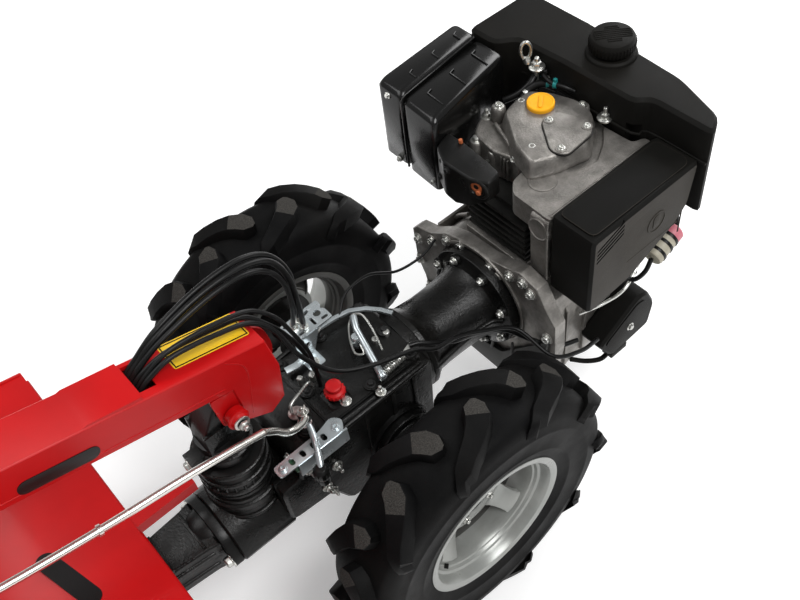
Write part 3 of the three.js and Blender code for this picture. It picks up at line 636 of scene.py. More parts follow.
def engine():
    refined("crankcase", "cast", 3.0, 3)
    refined("cylinder", "fins", 1.2, 2)
    refined("cylinder_head", "cast", 3.0, 3)
    # The filter cover's faces that look to the right take the lighter plastic: painted light.
    refined("air_filter_cover", "plastic", 5.0, 4, side_look="dusty")
    refined("fan_housing", "plastic", 3.0, 3)
    refined("fuel_tank", "plastic", 9.0, 4)
    refined("exhaust_shield", "black", 2.0, 2)
    refined("regulator_box", "plastic", 3.0, 3)

    # Rocker cover: sloping walls, four bolted ears, a three-screw plate in a dark joint line.
    s = Shape()
    pillow(s, soft(COVER_OUT, 10, 4), [(572.6, 0), (577, 0), (579, 1.4), (592, 5), (600, 8), (603.6, 10.5),
                                       (605, 13)])
    ears = [(472, 81), (537, -1), (402, -13), (439, 103)]
    for x, y in ears:
        post(s, x, y, [(14.5, 573), (13.5, 590), (12, 597.5), (10.5, 599)], 28)
    piece("rocker_cover_cast", s, "cast", bevel=0, nodes=("rocker_cover",), sharp=34)
    outline = soft([(455, 18), (411, -46), (421, -73), (492, -67), (507, -44), (491, 9)], 16, 5)
    pillow(s, outline, [(604, -2), (605.7, -2), (605.8, -0.6)])
    piece("plate_joint", s, "label_black")
    pillow(s, outline, [(604, 0), (608.4, 0), (609.4, 1.2)])
    plate_screws = [(463, 6), (494, -50), (426, -56)]
    for x, y in plate_screws:
        post(s, x, y, [(10.5, 608), (9.5, 610.6)])
    piece("breather_plate", s, "cast", sharp=34)
    for x, y in ears:
        bolt(s, (x, y, 599), UP, 6.4, 5, "socket")
    for x, y in plate_screws:
        bolt(s, (x, y, 610.2), UP, 4.6, 3.2, "socket")
    piece("cover_bolts", s, "steelbolt", bevel=0.4)

    # Oil filler cap, flat, with a raised rim and a low grip bar.
    post(s, 485, 47, [(24, 603), (24.6, 611), (23.4, 613.4), (20.6, 613.6), (19.6, 612.4), (4, 612.2)], 56)
    plate(s, pill(485, 47, 13, 3.6, 0.7), "z", 611, 615)
    piece("oil_cap_turned", s, "orange", bevel=0.5, nodes=("oil_cap",))

    # Cylinder head: posts, bolts, ribs and the injector line.
    posts = [(404, 112), (381, 100), (384, 57)]
    for x, y in posts:
        post(s, x, y, [(15, 512), (13, 556), (11, 561)])
    for i in range(5):
        block(s, 376, 380, 18 + i * 8, 21 + i * 8, 520, 566)
    block(s, 385, 392, -10, 16, 566, 573.5)
    tube(s, [(392, 20, 574), (400, 40, 580), (420, 92, 578)], 4, 8, 5)
    piece("head_posts", s, "cast", bevel=0.9)
    for x, y in posts:
        bolt(s, (x, y, 561), UP, 7.2, 7)
    bolt(s, (382, 8, 573.5), UP, 5, 5)
    piece("head_bolts", s, "steelbolt", bevel=0.4)
    nut(s, (428, 122, 572), UP, 7.4, 7, 8)
    post(s, 549, -42, [(13.5, 586), (13.5, 589.4), (12.6, 590)], 32)
    nut(s, (549, -42, 589.6), UP, 8.2, 8, 12)
    piece("head_studs", s, "steelbolt", bevel=0.4)
    bar(s, [(520, 108, 560), (520, 108, 600)], 5, 12)
    post(s, 534, 104, [(15, 626), (15, 629), (13.6, 630)], 28)
    nut(s, (534, 104, 629.5), UP, 9.5, 8, 9)
    bar(s, [(534, 104, 580), (534, 104, 627)], 5, 12)
    lathe(s, [(6, -6), (6, 6)], (527, 120, 637), (0.1, 0.3, 1), 16)
    loop = [(526 + 9 * sin(t) * 0.75, 123 - 9 * sin(t) * 0.65, 657 - 17 * cos(t))
            for t in [i * pi / 12 for i in range(25)]]
    tube(s, loop, 3.2, 10, 2)
    piece("lifting_eye", s, "steelbolt", bevel=0.4)

    # Intake housing: a smooth arched casting, its rear leg and two round pads.
    top = soft([(323, -131), (326, -44), (346, -24), (376, -19), (394, -50), (424, -77), (474, -94),
                (516, -70), (547, -42), (549, -104), (572, -112), (571, -131)], 8, 3)
    plate(s, top, "z", 524, 571)
    piece("intake_casting", s, "cast", bevel=3.0, segments=4, nodes=("intake_housing",))
    leg = soft([(318.6, 566), (372, 566), (360, 480), (350, 424), (321, 424)], 10, 4)
    plate(s, leg, "y", -129, -90)
    piece("intake_leg", s, "cast", bevel=4.0, segments=4)
    plate(s, soft([(392, -40), (424, -84), (474, -96), (520, -76), (552, -46), (552, -14), (470, -20)], 6, 3),
          "z", 556, 566)
    post(s, 379, -60, [(25, 567), (24, 572.6), (22.8, 573.2), (21.6, 572.4), (4, 572.2)], 48)
    lathe(s, [(22, -4), (21, 2.6), (19.6, 3.2), (18, 1.6), (4, 1.4)], (319, -110, 540), (-1, 0, 0.04), 48)
    for r, pts in ((2.6, [(330, -128.6, 571.4), (440, -129, 571.6), (568, -129.2, 571)]),
                   (1.6, [(330, -121.6, 571), (440, -122, 571.2), (560, -122.2, 570.8)]),
                   (2.4, [(319.4, -128.4, 566), (319.2, -128.6, 500), (320.6, -128.6, 428)])):
        tube(s, pts, r, 10, 3)
    piece("intake_pads", s, "cast", bevel=0.4)

    # Filter cover: raised lid, louvres, panel lines and a ring round a tab on the right face.
    # The trim on the right face takes the lighter, dusty plastic, painted light on the lit side; the lid
    # keeps the plain plastic.
    lid = soft([(330, -214), (330, -142), (560, -142), (562, -200), (552, -214)], 12, 4)
    plate(s, lid, "z", 586, 591.8, mat=1)
    for i in range(7):
        x = 338 + i * 7
        for z in (508 - i * 3, 470 - i * 3):
            bar(s, [(x, -221.6, z), (x + 34, -221.6, z + 40)], 1.5, 6)
    for x in (402, 546):
        bar(s, [(x, -221.2, 440), (x + 2, -221.2, 582)], 1.4, 6)
    ring(s, [(19, -1), (22, -1), (22, 1.8), (19, 1.8)], (476, -222.2, 520), RIGHT, 48)
    plate(s, soft([(468, 508), (484, 508), (484, 532), (476, 538), (468, 532)], 4, 3), "y", -224, -221)
    bar(s, [(410, -221.4, 474), (536, -221.4, 474)], 2.2, 8)
    piece("filter_cover_trim", s, ["dusty", "plastic"], bevel=0.6)

    # Tank: pressed seam, filler neck and a ribbed cap.
    seam = [(514, 244), (514, 190), (548, 163), (555, 62), (555, -96), (577, -115), (578, -232)]
    tube(s, [(x - 3, y, 585) for x, y in seam], 2.6, 8, 3)
    post(s, *CAP, [(46, 650), (44, 657), (40, 660), (31, 660), (31, 665)], 48)
    piece("tank_seam", s, "plastic", bevel=1.2)
    post(s, *CAP, [(29, 654), (30, 664), (37, 665), (39, 668), (39.8, 676), (39, 685), (36.4, 689.5),
                   (31, 691.5), (12, 692)], 64)
    knurl(s, *CAP, [(39.2, 668), (39.8, 682)], 1.3, 40, 2)
    for i in range(9):
        u = -20 + i * 5
        w = sqrt(32 ** 2 - u * u) * (0.45 if abs(u) > 12 else 1)
        c, sn = cos(0.9), sin(0.9)
        bar(s, [(CAP[0] + u * c - v * sn, CAP[1] + u * sn + v * c, 691.6) for v in (-w, w)], 1.5, 6)
    piece("tank_cap_ribbed", s, "plastic", nodes=("tank_cap",))

    # Muffler: two glossy pressed halves, a folded seam, short pressed lines on top and the tail pipe.
    inner = soft([(302, 196), (298, 110), (507, 154), (508, 226)], 13, 5)
    outer = soft([(302, 262), (302, 196), (508, 226), (509, 284)], 13, 5)
    turn = [(9, 0), (9 * 0.62, 9 * 0.3), (9 * 0.3, 9 * 0.62), (0, 9)]
    for half, z0, z1 in ((inner, 479, 646), (outer, 484, 652)):
        pillow(s, half, [(z0 + u, v) for v, u in turn] + [(z1 - u, v) for v, u in reversed(turn)])
    piece("muffler_pressed", s, "gloss", nodes=("muffler",), sharp=50)
    bar(s, [(301.4, 196, 492), (301, 196, 641), (309, 197.4, 648.4), (500, 225, 648.4)], 2.2, 10)
    for i in range(3):
        x, y = 340 + i * 62, 148 + i * 11
        bar(s, [(x, y - 16, 646.6), (x + 2, y + 26, 646.8), (x + 14, y + 30, 646.6)], 1.5, 8)
        bar(s, [(x + 12, y + 66, 652.4), (x + 13, y + 84, 652.6), (x + 22, y + 88, 652.4)], 1.5, 8)
    lathe(s, [(15, 0), (15, 34), (12.5, 34.5), (12, 6)], (470, 262, 530), (0, 1, 0), 32)
    piece("muffler_seam", s, "gloss", bevel=0)
    for y, z in ((222, 494), (232, 636), (128, 500)):
        bolt(s, (301, y, z), BACK, 4.4, 3.6)
    piece("muffler_screws", s, "steelbolt", bevel=0.3)

    # Heat shield: exhaust flange behind its hole, and screws.
    ring(s, [(15.5, -4), (21, -4), (21, 1), (18.6, 3.4), (15.5, 3.4)], (289, -2, 578), (-1, -0.25, 0), 40)
    lathe(s, [(15.6, -4), (15.6, 0.3)], (289, -2, 578), (-1, -0.25, 0), 32)
    piece("shield_eyelet", s, "black", bevel=0.5)
    ring(s, [(5, -1), (11, -1), (11, 1.6), (9, 2.4), (5, 1.6)], (289, 2, 581), (-1, -0.25, 0), 28)
    lathe(s, [(5, 0), (5, 4), (4, 5)], (289, -4, 573), (-1, -0.25, 0), 6)
    lathe(s, [(4, -4), (4, 3), (3, 4)], (330, 82, 604), (0, 0.2, 1), 6)
    piece("exhaust_flange", s, "rust", bevel=0.3)
    for y, z in ((92, 544), (62, 586), (84, 588)):
        bolt(s, (280 + (y - 60) * 0.12 if y < 72 else 290, y, z), BACK, 5, 4)
    piece("shield_screws", s, "darkbolt", bevel=0.3)

    # Crankcase: rim, bolts, bosses, ribs, sump plate.
    rim_bolts = [(171, 329), (130, 355), (86, 389), (47, 405), (-28, 409), (-77, 423), (-108, 431),
                 (-127, 417)]
    rim_bolts += [(-168, 330), (-160, 270), (-150, 210), (172, 270), (150, 205), (120, 140), (-120, 140)]
    for y, z in rim_bolts:
        lathe(s, [(13.5, -12), (12.5, 1.5), (11.4, 2.6)], (286, y, z), BACK)
    inside = [(287.5, y * 0.985, 285 + (z - 285) * 0.985) for y, z in FLANGE]
    for k in range(len(inside)):
        bar(s, [inside[k - 1], inside[k]], 2.6, 8)
    ring(s, [(104, -3), (112, -3), (111, 4), (105, 4)], (286, 0, CRANK), BACK, 64)
    key = pill(6, 384, 14, 9, 0.5)
    plate(s, key, "x", 281.5, 290)
    lathe(s, [(10, -2), (9, 5)], (285, -48, 398), BACK)
    for y in (-140, -100, 100, 140):
        block(s, 312, 470, y - 3, y + 3, 150, 372)
    for x in (352, 400, 448):
        for sd in (-1, 1):
            block(s, x - 3, x + 3, sd * 150 - 6, sd * 150 + 6, 170, 330)
            tube(s, [(x, sd * 98, 398), (x, sd * 132, 368), (x, sd * 153, 330)], 4.5, 8, 4)
    piece("crankcase_bosses", s, "cast", bevel=0.9)
    for y, z in rim_bolts:
        bolt(s, (283.6, y, z), BACK, 7.4, 6, "socket")
    piece("crankcase_bolts", s, "steelbolt", bevel=0.4)
    plate(s, soft([(40, 124), (-60, 124), (-168, 250), (-176, 330), (-150, 300), (-60, 190), (30, 170)], 10,
                  3), "x", 276, 285)
    for t in (0.35, 0.62):
        bar(s, [(275, 36 - 200 * t, 150 + 90 * t), (275, 20 - 180 * t, 182 + 110 * t)], 3, 6)
    block(s, 330, 470, -120, 120, 112, 124)
    for i in range(6):
        block(s, 340 + i * 22, 344 + i * 22, -116, 116, 104, 114)
    piece("sump_plate", s, "darkcast", bevel=1.4)

    # Fuel filter, pipes and fittings low on the right.
    mid, way = (555, -192, 378), (1, 0.1, 0.25)
    lathe(s, [(17, -34), (19, -30), (19, 30), (17, 34)], mid, way, 36)
    piece("fuel_filter_bowl", s, "cream", bevel=0.5)
    for h in (-24, -4, 12):
        lathe(s, [(20.4, h), (20.4, h + 6)], mid, way, 36)
    tube(s, [(592, -188, 388), (600, -180, 410), (598, -166, 440), (590, -150, 470)], 5, 10)
    tube(s, [(520, -196, 369), (504, -198, 350), (492, -188, 330), (484, -174, 330), (470, -160, 350)], 4.6,
         10)
    piece("fuel_filter_bands", s, "rubber", bevel=0.4)
    lathe(s, [(19.6, 18), (19.6, 34), (15, 38), (7, 40)], mid, way, 32)
    piece("fuel_filter_cap", s, "pink", bevel=0.5)
    tube(s, [(470, -150, 386), (452, -168, 370), (424, -172, 352), (404, -166, 330)], 3, 8)
    block(s, 424, 452, -166, -150, 300, 344)
    block(s, 470, 500, -160, -150, 296, 330)
    for place, r, high in (((438, -166, 322), 6.5, 6), ((486, -160, 314), 6, 6), ((470, -206.4, 226), 6, 4)):
        bolt(s, place, RIGHT, r, high)
    tube(s, [(380, -156, 300), (420, -176, 312), (476, -178, 306), (524, -168, 330)], 3.4, 8)
    piece("governor_linkage", s, "steelbolt", bevel=0.5)
    plate(s, soft([(402, 230), (484, 280), (504, 276), (524, 238), (517, 194), (430, 184)], 12, 4), "y", -207,
          -204)
    block(s, 428, 470, -204, -180, 160, 174)
    tube(s, [(440, -190, 164), (420, -186, 150), (396, -170, 150), (372, -150, 160)], 5, 10)
    piece("regulator_cover", s, "plastic", bevel=0.8)

    # Hoses with clamps near the lifting eye, and the injector pipe.
    for r, pts in ((7, [(540, 62, 600), (528, 86, 604), (508, 98, 596), (486, 96, 584), (478, 100, 574)]),
                   (6.4, [(551, 96, 612), (536, 106, 610), (516, 104, 600), (496, 112, 586),
                          (476, 128, 575)]),
                   (4.6, [(551, 30, 604), (540, 44, 612), (530, 66, 616), (536, 92, 618), (551, 108, 616)])):
        tube(s, pts, r, 12)
    piece("fuel_hoses", s, "rubber")
    for p, d in (((534, 76, 604), (-1, 1.6, 0)), ((543, 100, 611), (-1, 0.6, 0)),
                 ((532, 58, 615), (-0.4, 1, 0))):
        lathe(s, [(7, -3), (7, 3)], p, d, 20)
        block(s, p[0] - 3, p[0] + 3, p[1] - 3, p[1] + 3, p[2] + 5, p[2] + 12)
    piece("hose_clamps", s, "teal", bevel=0.5)
    for p, d in (((541, 84, 606), (-1, 1, 0)), ((500, 98, 594), (-1, 0.2, -0.4))):
        lathe(s, [(6.8, -3), (6.8, 3)], p, d, 20)
    tube(s, [(386, 40, 566), (372, 60, 545), (362, 86, 520), (356, 92, 470), (350, 96, 440)], 3.2, 10)
    bolt(s, (386, 40, 562), UP, 7, 8, washer=False)
    piece("injector_pipe", s, "steelbolt", bevel=0.3)

    # Recoil starter and guards at the front, cooling duct.
    ring(s, [(88, 30), (94, 30), (94, 36), (88, 36)], (560, 0, CRANK), FRONT, 56)
    for i in range(18):
        t = 2 * pi * i / 18
        c, sn = cos(t), sin(t)
        bar(s, [(592, c * 34, CRANK + sn * 34), (592, c * 80, CRANK + sn * 80)], 2.6, 6)
    lathe(s, [(30, 28), (30, 38), (26, 41)], (560, 0, CRANK), FRONT, 40)
    block(s, 565, 588, 86, 104, 395, 408)
    tube(s, [(578, 92, 404), (580, 108, 420), (580, 132, 424)], 7, 12)
    corners = [(-128, 380), (128, 380), (-128, 250), (128, 250)]
    for y, z in corners:
        lathe(s, [(14, -6), (13, 8)], (556, y, z), FRONT)
    piece("recoil_starter", s, "plastic", bevel=1.0)
    for y, z in corners:
        bolt(s, (564, y, z), FRONT, 6, 5)
    piece("starter_bolts", s, "steelbolt", bevel=0.4)


engine()


# ---------- gearbox, bell and controls ----------
def transmission():
    refined("gearbox", "casting", 2.5, 2)
    refined("turret", "black", 2.0, 2, body="swivel")
    for node in ("axle_housing_left", "axle_housing_right"):
        refined(node, "casting", 3.0, 3)

    # Clutch bell: smooth turned cone with a collar and a flange.
    s = Shape()
    lathe(s, [(80, 100.4), (80, 110), (74, 118), (68.5, 128), (67, 150), (67.5, 196), (68.5, 226), (71, 244),
              (77, 255), (88, 261), (100, 263.6), (101, 265), (101, 284.6), (90, 284.6)], (0, 0, CRANK),
          FRONT, 96)
    for i in range(8):
        t = radians(22.5 + 45 * i)
        lathe(s, [(12, 257), (11, 270)], (0, 89 * cos(t), CRANK + 89 * sin(t)), FRONT)
    for sd in (-1, 1):
        tube(s, [(104, sd * 74, CRANK + 12), (180, sd * 67, CRANK + 10), (240, sd * 70, CRANK + 10),
                 (260, sd * 84, CRANK + 10)], 6, 10, 5)
    piece("clutch_bell", s, "casting", bevel=1.6, segments=3, nodes=("bell_housing",))
    for i in range(8):
        t = radians(22.5 + 45 * i)
        bolt(s, (255, 89 * cos(t), CRANK + 89 * sin(t)), BACK, 6, 6)
    piece("bell_bolts", s, "steelbolt", bevel=0.4)

    # Gearbox: lid with bolts, side ribs, drain boss, studs.
    lid = soft([(-118, -78), (74, -78), (74, 78), (-118, 78)], 14, 4)
    plate(s, lid, "z", 398, 402.5, [soft([(-60, -20), (-60, -64), (-98, -64), (-98, -20)], 9, 3)])
    lid_bolts = [(-108, 68), (-108, -6), (-24, 68), (62, 68), (62, -68), (-24, -68), (62, 0)]
    for x, y in lid_bolts:
        post(s, x, y, [(13, 398), (12, 406)])
    for x0, x1 in ((-60, -52), (-4, 4), (42, 50)):
        for sd in (-1, 1):
            block(s, x0, x1, sd * 86 - 5, sd * 86 + 5, 236, 376)
    for sd in (-1, 1):
        tube(s, [(-182, sd * 84, 372), (-100, sd * 92, 388), (0, sd * 92, 390), (80, sd * 86, 384)], 5, 8, 5)
    for sd in (-1, 1):
        lathe(s, [(60, 84), (60, 92), (56, 96)], (0, 0, AXLE), (0, sd, 0), 64)
    lathe(s, [(15, -2), (14, 12), (10, 14)], (*LEVER, 396), UP, 28)
    lathe(s, [(14, -4), (13, 14)], (12, 8, 398), UP, 28)
    for r, z, rise, high in ((62, 242, 3, 13), (61, 272, 2, 10), (63, 304, 3, 19)):
        ring(s, [(57, z), (r, z + rise), (r, z + high - rise), (57, z + high)], (SWIVEL, 0, 0), UP, 56)
    for sd in (-1, 1):
        block(s, -236, -184, sd * 58 - 6, sd * 58 + 6, 250, 330)
    lathe(s, [(16, 0), (16, 8), (11, 9)], (-40, 30, 161), DOWN, 28)
    piece("gearbox_castings", s, "casting", bevel=1.4)
    for x, y in lid_bolts:
        bolt(s, (x, y, 406), UP, 6, 5)
    for sd in (-1, 1):
        for k in range(6):
            t = radians(30 + 60 * k)
            bolt(s, (50 * cos(t), sd * 96, AXLE + 50 * sin(t)), (0, sd, 0), 5.4, 5)
    piece("gearbox_bolts", s, "darkbolt", bevel=0.4)
    for x, z in ((-132, 300), (-160, 262)):
        nut(s, (x, -90, z), RIGHT, 7, 6, 9)
    bolt(s, (-73, -63, 402.5), UP, 7, 6)
    bolt(s, (-40, 30, 153), DOWN, 9, 8)
    for sd in (-1, 1):
        bolt(s, (-196, sd * 62, 372), BACK, 6, 5)
    nut(s, (-20, -88, 400), UP, 6.4, 5, 10)
    piece("gearbox_studs", s, "steelbolt", bevel=0.4)
    post(s, *FILLER, [(16, 402), (16, 408), (14.8, 409)], 36)
    piece("filler_neck", s, "casting", bevel=0.5)
    post(s, *FILLER, [(15, 408.6), (17, 409.5), (17.4, 413), (16.4, 418), (12, 420.5), (11.4, 424),
                      (13.5, 427), (13.2, 430.5), (10, 432)], 48)
    knurl(s, *FILLER, [(17, 410.5), (16.8, 417)], 1.5, 16)
    piece("filler_cap_turned", s, "redcap", bevel=0.3, nodes=("filler_cap",))

    # Zinc bracket that carries the cable ends: foot, leg and a level shelf with holes, and a bent flat bar.
    shelf = soft([(-78, 68), (-66, 68), (-66, 54), (3, 56), (3, 80), (-3, 84), (3, 90), (3, 103), (-78, 99)],
                 4, 3)
    holes = [circle(-13, 79, 6.8, 24), pill(-8, 64, 4, 2.8), pill(-30, 92, 7, 3, 0.3),
             pill(-28, 70, 6, 2.8, 1.57), pill(-55, 63, 5, 2.4), pill(-68, 93, 3, 2.4),
             circle(-46, 70, 4, 16), circle(-44, 85, 4, 16), circle(-60, 80, 4, 16)]
    plate(s, shelf, "z", 447, 450.4, holes)
    plate(s, soft([(-76, 400.4), (-46, 400.4), (-28, 449), (-78, 449)], 4, 3), "y", 54, 57.6,
          [circle(-56, 426, 6)])
    plate(s, soft([(-78, 22), (-46, 22), (-46, 57.6), (-78, 57.6)], 5, 3), "z", 400.4, 404,
          [circle(-62, 34, 4.5)])
    plate(s, soft([(-24, 432), (3, 432), (3, 450), (-24, 450)], 4, 3), "y", 99.6, 103)
    strip(s, [(-34, 74), (10, 71), (40, 65), (64, 48), (80, 28), (90, 8)], 8, 417, 422)
    strip(s, [(-112, 44), (-92, 40), (-66, 44)], 13, 415, 418.4)
    piece("cable_bracket_plate", s, "zinc", bevel=0.6, nodes=("cable_bracket",))
    bolt(s, (-62, 34, 404), UP, 6.4, 5)
    bolt(s, (-26, 73, 422), UP, 5.6, 5)
    for x, y in ((-46, 70), (-44, 85), (-60, 80)):
        lathe(s, [(3.4, -32), (3.4, -14), (5.6, -13), (5.6, 14), (4.2, 18)], (x, y, 450), UP, 14)
        for low, high in ((-7, -3.6), (0.6, 4.6)):
            lathe(s, [(8, low), (8, high)], (x, y, 450), UP, 6)
    lathe(s, [(6.5, 0), (6.5, 12), (5, 14)], (-84, 10, 402), UP)
    lathe(s, [(5.4, 0), (5.4, 16), (4, 18)], (-104, 16, 402), UP)
    for x, y in ((38, -5), (61, -7)):
        lathe(s, [(6.4, -2), (6.4, 7), (5, 8.4)], (x, y, 402), UP)
    plate(s, soft([(56, -66), (76, -60), (74, -53), (54, -59)], 2, 3), "z", 409.6, 412)
    piece("bracket_fittings", s, "steelbolt", bevel=0.4)

    # Brake lever on its post, its wire clip, the return spring and the braided sleeve.
    bar(s, [(33, 42, 433), (20, 18, 431), (-5, -78, 418)], 6.2, 14)
    post(s, 10, 8, [(9, 400.4), (9, 428), (7, 432)])
    lathe(s, [(7.4, -4), (7.4, 3), (6, 4)], (-5, -78, 418), (-0.25, -1, -0.12))
    piece("brake_lever_bar", s, "zinc", bevel=0.4, nodes=("brake_lever",))
    tube(s, [(33, 44, 434), (20, 40, 422), (2, 14, 420), (-8, -12, 420), (2, -22, 420), (8, -6, 424)], 2.0, 8)
    tube(s, [(33, 44, 436), (48, 38, 426), (44, 8, 422), (30, -36, 416)], 2.0, 8)
    piece("brake_lever_clip", s, "steelbolt")
    spring(s, (4, -70, 412), (50, -66, 412), 6.4, 1.4, 11)
    bar(s, [(4, -70, 412), (-2, -74, 418)], 1.4, 6)
    bar(s, [(50, -66, 412), (58, -60, 411)], 1.4, 6)
    piece("return_spring", s, "steelbolt")
    tube(s, [(68, -58, 412), (84, -64, 410), (101, -73, 402), (126, -80, 388), (150, -86, 376),
             (200, -88, 352), (246, -104, 330), (272, -140, 312), (300, -176, 300), (340, -190, 292)], 4.4,
         12)
    tube(s, [(18, 66, 418), (56, 92, 430), (110, 98, 428), (166, 88, 400), (222, 84, 398), (262, 92, 404)],
         2.6, 8)
    piece("control_sleeves", s, "rubber")

    # Gear lever, gate and the joint of the long rod.
    holes = [pill(-204 + i * 21, -93, 2.6, 4.4, 1.57) for i in range(4)]
    gate = soft([(-234, -105), (-234, -82), (-140, -79), (-112, -71), (-99, -86), (-110, -105)], 7, 3)
    plate(s, gate, "z", 403.6, 406.6, holes)
    plate(s, [(-200, -106), (-104, -106), (-104, -103), (-200, -103)], "z", 372, 405)
    piece("gate_plate", s, "zinc", bevel=0.5, nodes=("shift_gate",))
    block(s, -196, -112, -97, -88.3, 372, 392)
    for x in (-190, -118):
        post(s, x, -94, [(5, 386), (5, 404)], 14)
    piece("gate_foot", s, "black", bevel=0.6)
    for x, y in ((-222, -94), (-117, -92)):
        bolt(s, (x, y, 406.6), UP, 5.4, 4, "socket")
    tube(s, [(-150, -60, 424), (-150, -74, 422), (-160, -100, 420), (-172, -124, 410), (-179, -134, 402)],
         5.4, 14)
    piece("gear_lever_rod", s, "zinc", bevel=0.3)
    post(s, *LEVER_END, [(9, 384), (13, 388), (14, 396), (12.5, 404), (8, 409)], 36)
    post(s, *LEVER_END, [(7, 366), (10, 369), (10, 380), (7, 384)], 36)
    knurl(s, *LEVER_END, [(13.4, 389), (13.2, 402)], 1.3, 12)
    post(s, *LEVER, [(12, 400.4), (12, 420), (10, 424)], 30)
    post(s, *LEVER, [(17, 396), (16, 404)], 30)
    bar(s, [(-150, -60, 416), (-143, -57, 430)], 8, 12)
    piece("gear_lever_boss", s, "black", bevel=0.5, nodes=("shift_lever",))
    bolt(s, (*LEVER, 424), UP, 8, 7)
    post(s, -146, -26, [(13, 404), (13, 407)], 30)
    bolt(s, (-146, -26, 407), UP, 8, 7)
    piece("lever_pivot_bolt", s, "pinkzinc", bevel=0.4)
    tube(s, [(-93, -2, 404), (-100, -3, 420), (-124, -12, 425), (-147, -20, 425), (-152, -26, 414)], 3, 10)
    for x, z in ((-180, 341), (-160, 284), (-150, 236)):
        nut(s, (x, -88, z), RIGHT, 6, 5, 8)
    piece("gearbox_side_studs", s, "steelbolt")
    bolt(s, (-200, -80, 380), RIGHT, 8, 7)
    lathe(s, [(4, -6), (4, 18)], (-200, -80, 380), RIGHT, 14)
    piece("gate_green_bolt", s, "green", bevel=0.4)

    # Rear power take-off: diamond flanges, clamp bolts, tapered neck.
    def diamond(w, h):
        return soft([(-w, PTO), (-0.62 * w, PTO + h * 0.7), (0, PTO + h), (0.62 * w, PTO + h * 0.7), (w, PTO),
                     (0.62 * w, PTO - h * 0.7), (0, PTO - h), (-0.62 * w, PTO - h * 0.7)], 16, 4)
    plate(s, diamond(84, 65), "x", -352, -334.4)
    lathe(s, [(52, 0), (50, 12), (46, 26)], (-350, 0, PTO), BACK, 48)
    piece("coupling_flange", s, "black", bevel=2.2, nodes=("pto_coupling",))
    for sd in (-1, 1):
        bolt(s, (-352, sd * 66, PTO), BACK, 10, 10)
        lathe(s, [(7, 0), (7, 24), (5, 26)], (-334, sd * 66, PTO), FRONT, 18)
    piece("coupling_bolts", s, "steelbolt", bevel=0.5)
    refined("tiller_neck", "casting", 8.0, 4)
    for z in (PTO + 18, PTO - 18):
        for sd in (-1, 1):
            tube(s, [(-366, sd * 46, z), (-440, sd * 39, z), (-512, sd * 33, z)], 5, 8, 4)
    for x in (-376, -436, -500):
        block(s, x - 3, x + 3, -40, 40, PTO + 34, PTO + 45)
    piece("neck_ribs", s, "casting", bevel=1.2)

    # Turret: rings, clamp and pivot sleeves.
    for z in (352, 376, 402):
        ring(s, [(56, z), (60.5, z + 2), (60.5, z + 9), (56, z + 11)], (SWIVEL, 0, 0), UP, 64)
    knurl(s, SWIVEL, 0, [(57, 364), (57, 376)], 3, 24)
    ring(s, [(41, 420), (48, 424), (48, 440), (41, 444)], (SWIVEL, 0, 0), UP, 56)
    block(s, SWIVEL - 66, SWIVEL - 40, -14, 14, 420, 444)
    for sd in (-1, 1):
        block(s, -296, -228, sd * 25 - 4, sd * 25 + 4, 446, 500)
    piece("turret_rings", s, "casting", body="swivel", bevel=1.2)
    for sd in (-1, 1):
        lathe(s, [(16.6, 40.2), (16.6, 50), (18, 51), (18, 55), (14.4, 56.4), (12.4, 62), (11, 63)], PIVOT,
              (0, sd, 0), 40)
    piece("pivot_sleeves", s, "red", body="swivel", bevel=0.5)
    for sd in (-1, 1):
        nut(s, (-243, sd * 62.4, 530), (0, sd, 0), 9, 7, 6)
    bolt(s, (SWIVEL - 66, 0, 432), BACK, 7, 6)
    piece("pivot_nuts", s, "steelbolt", body="swivel", bevel=0.5)


transmission()


# ---------- handlebar column and controls ----------
def column_top(x):
    """Height of the column's top face."""
    return 630 + (-165 - x) * (89 / 349)


def label(s, outline, height, lift, thick):
    """Thin sheet over a sloping face: outline in (X, Y), height as a function of X."""
    n = len(outline)
    verts = [(x, y, height(x) + h) for h in (lift, lift + thick) for x, y in outline]
    faces = [list(range(n)), [i + n for i in range(n)]]
    faces += [[i, (i + 1) % n, (i + 1) % n + n, i + n] for i in range(n)]
    s.put(verts, faces)


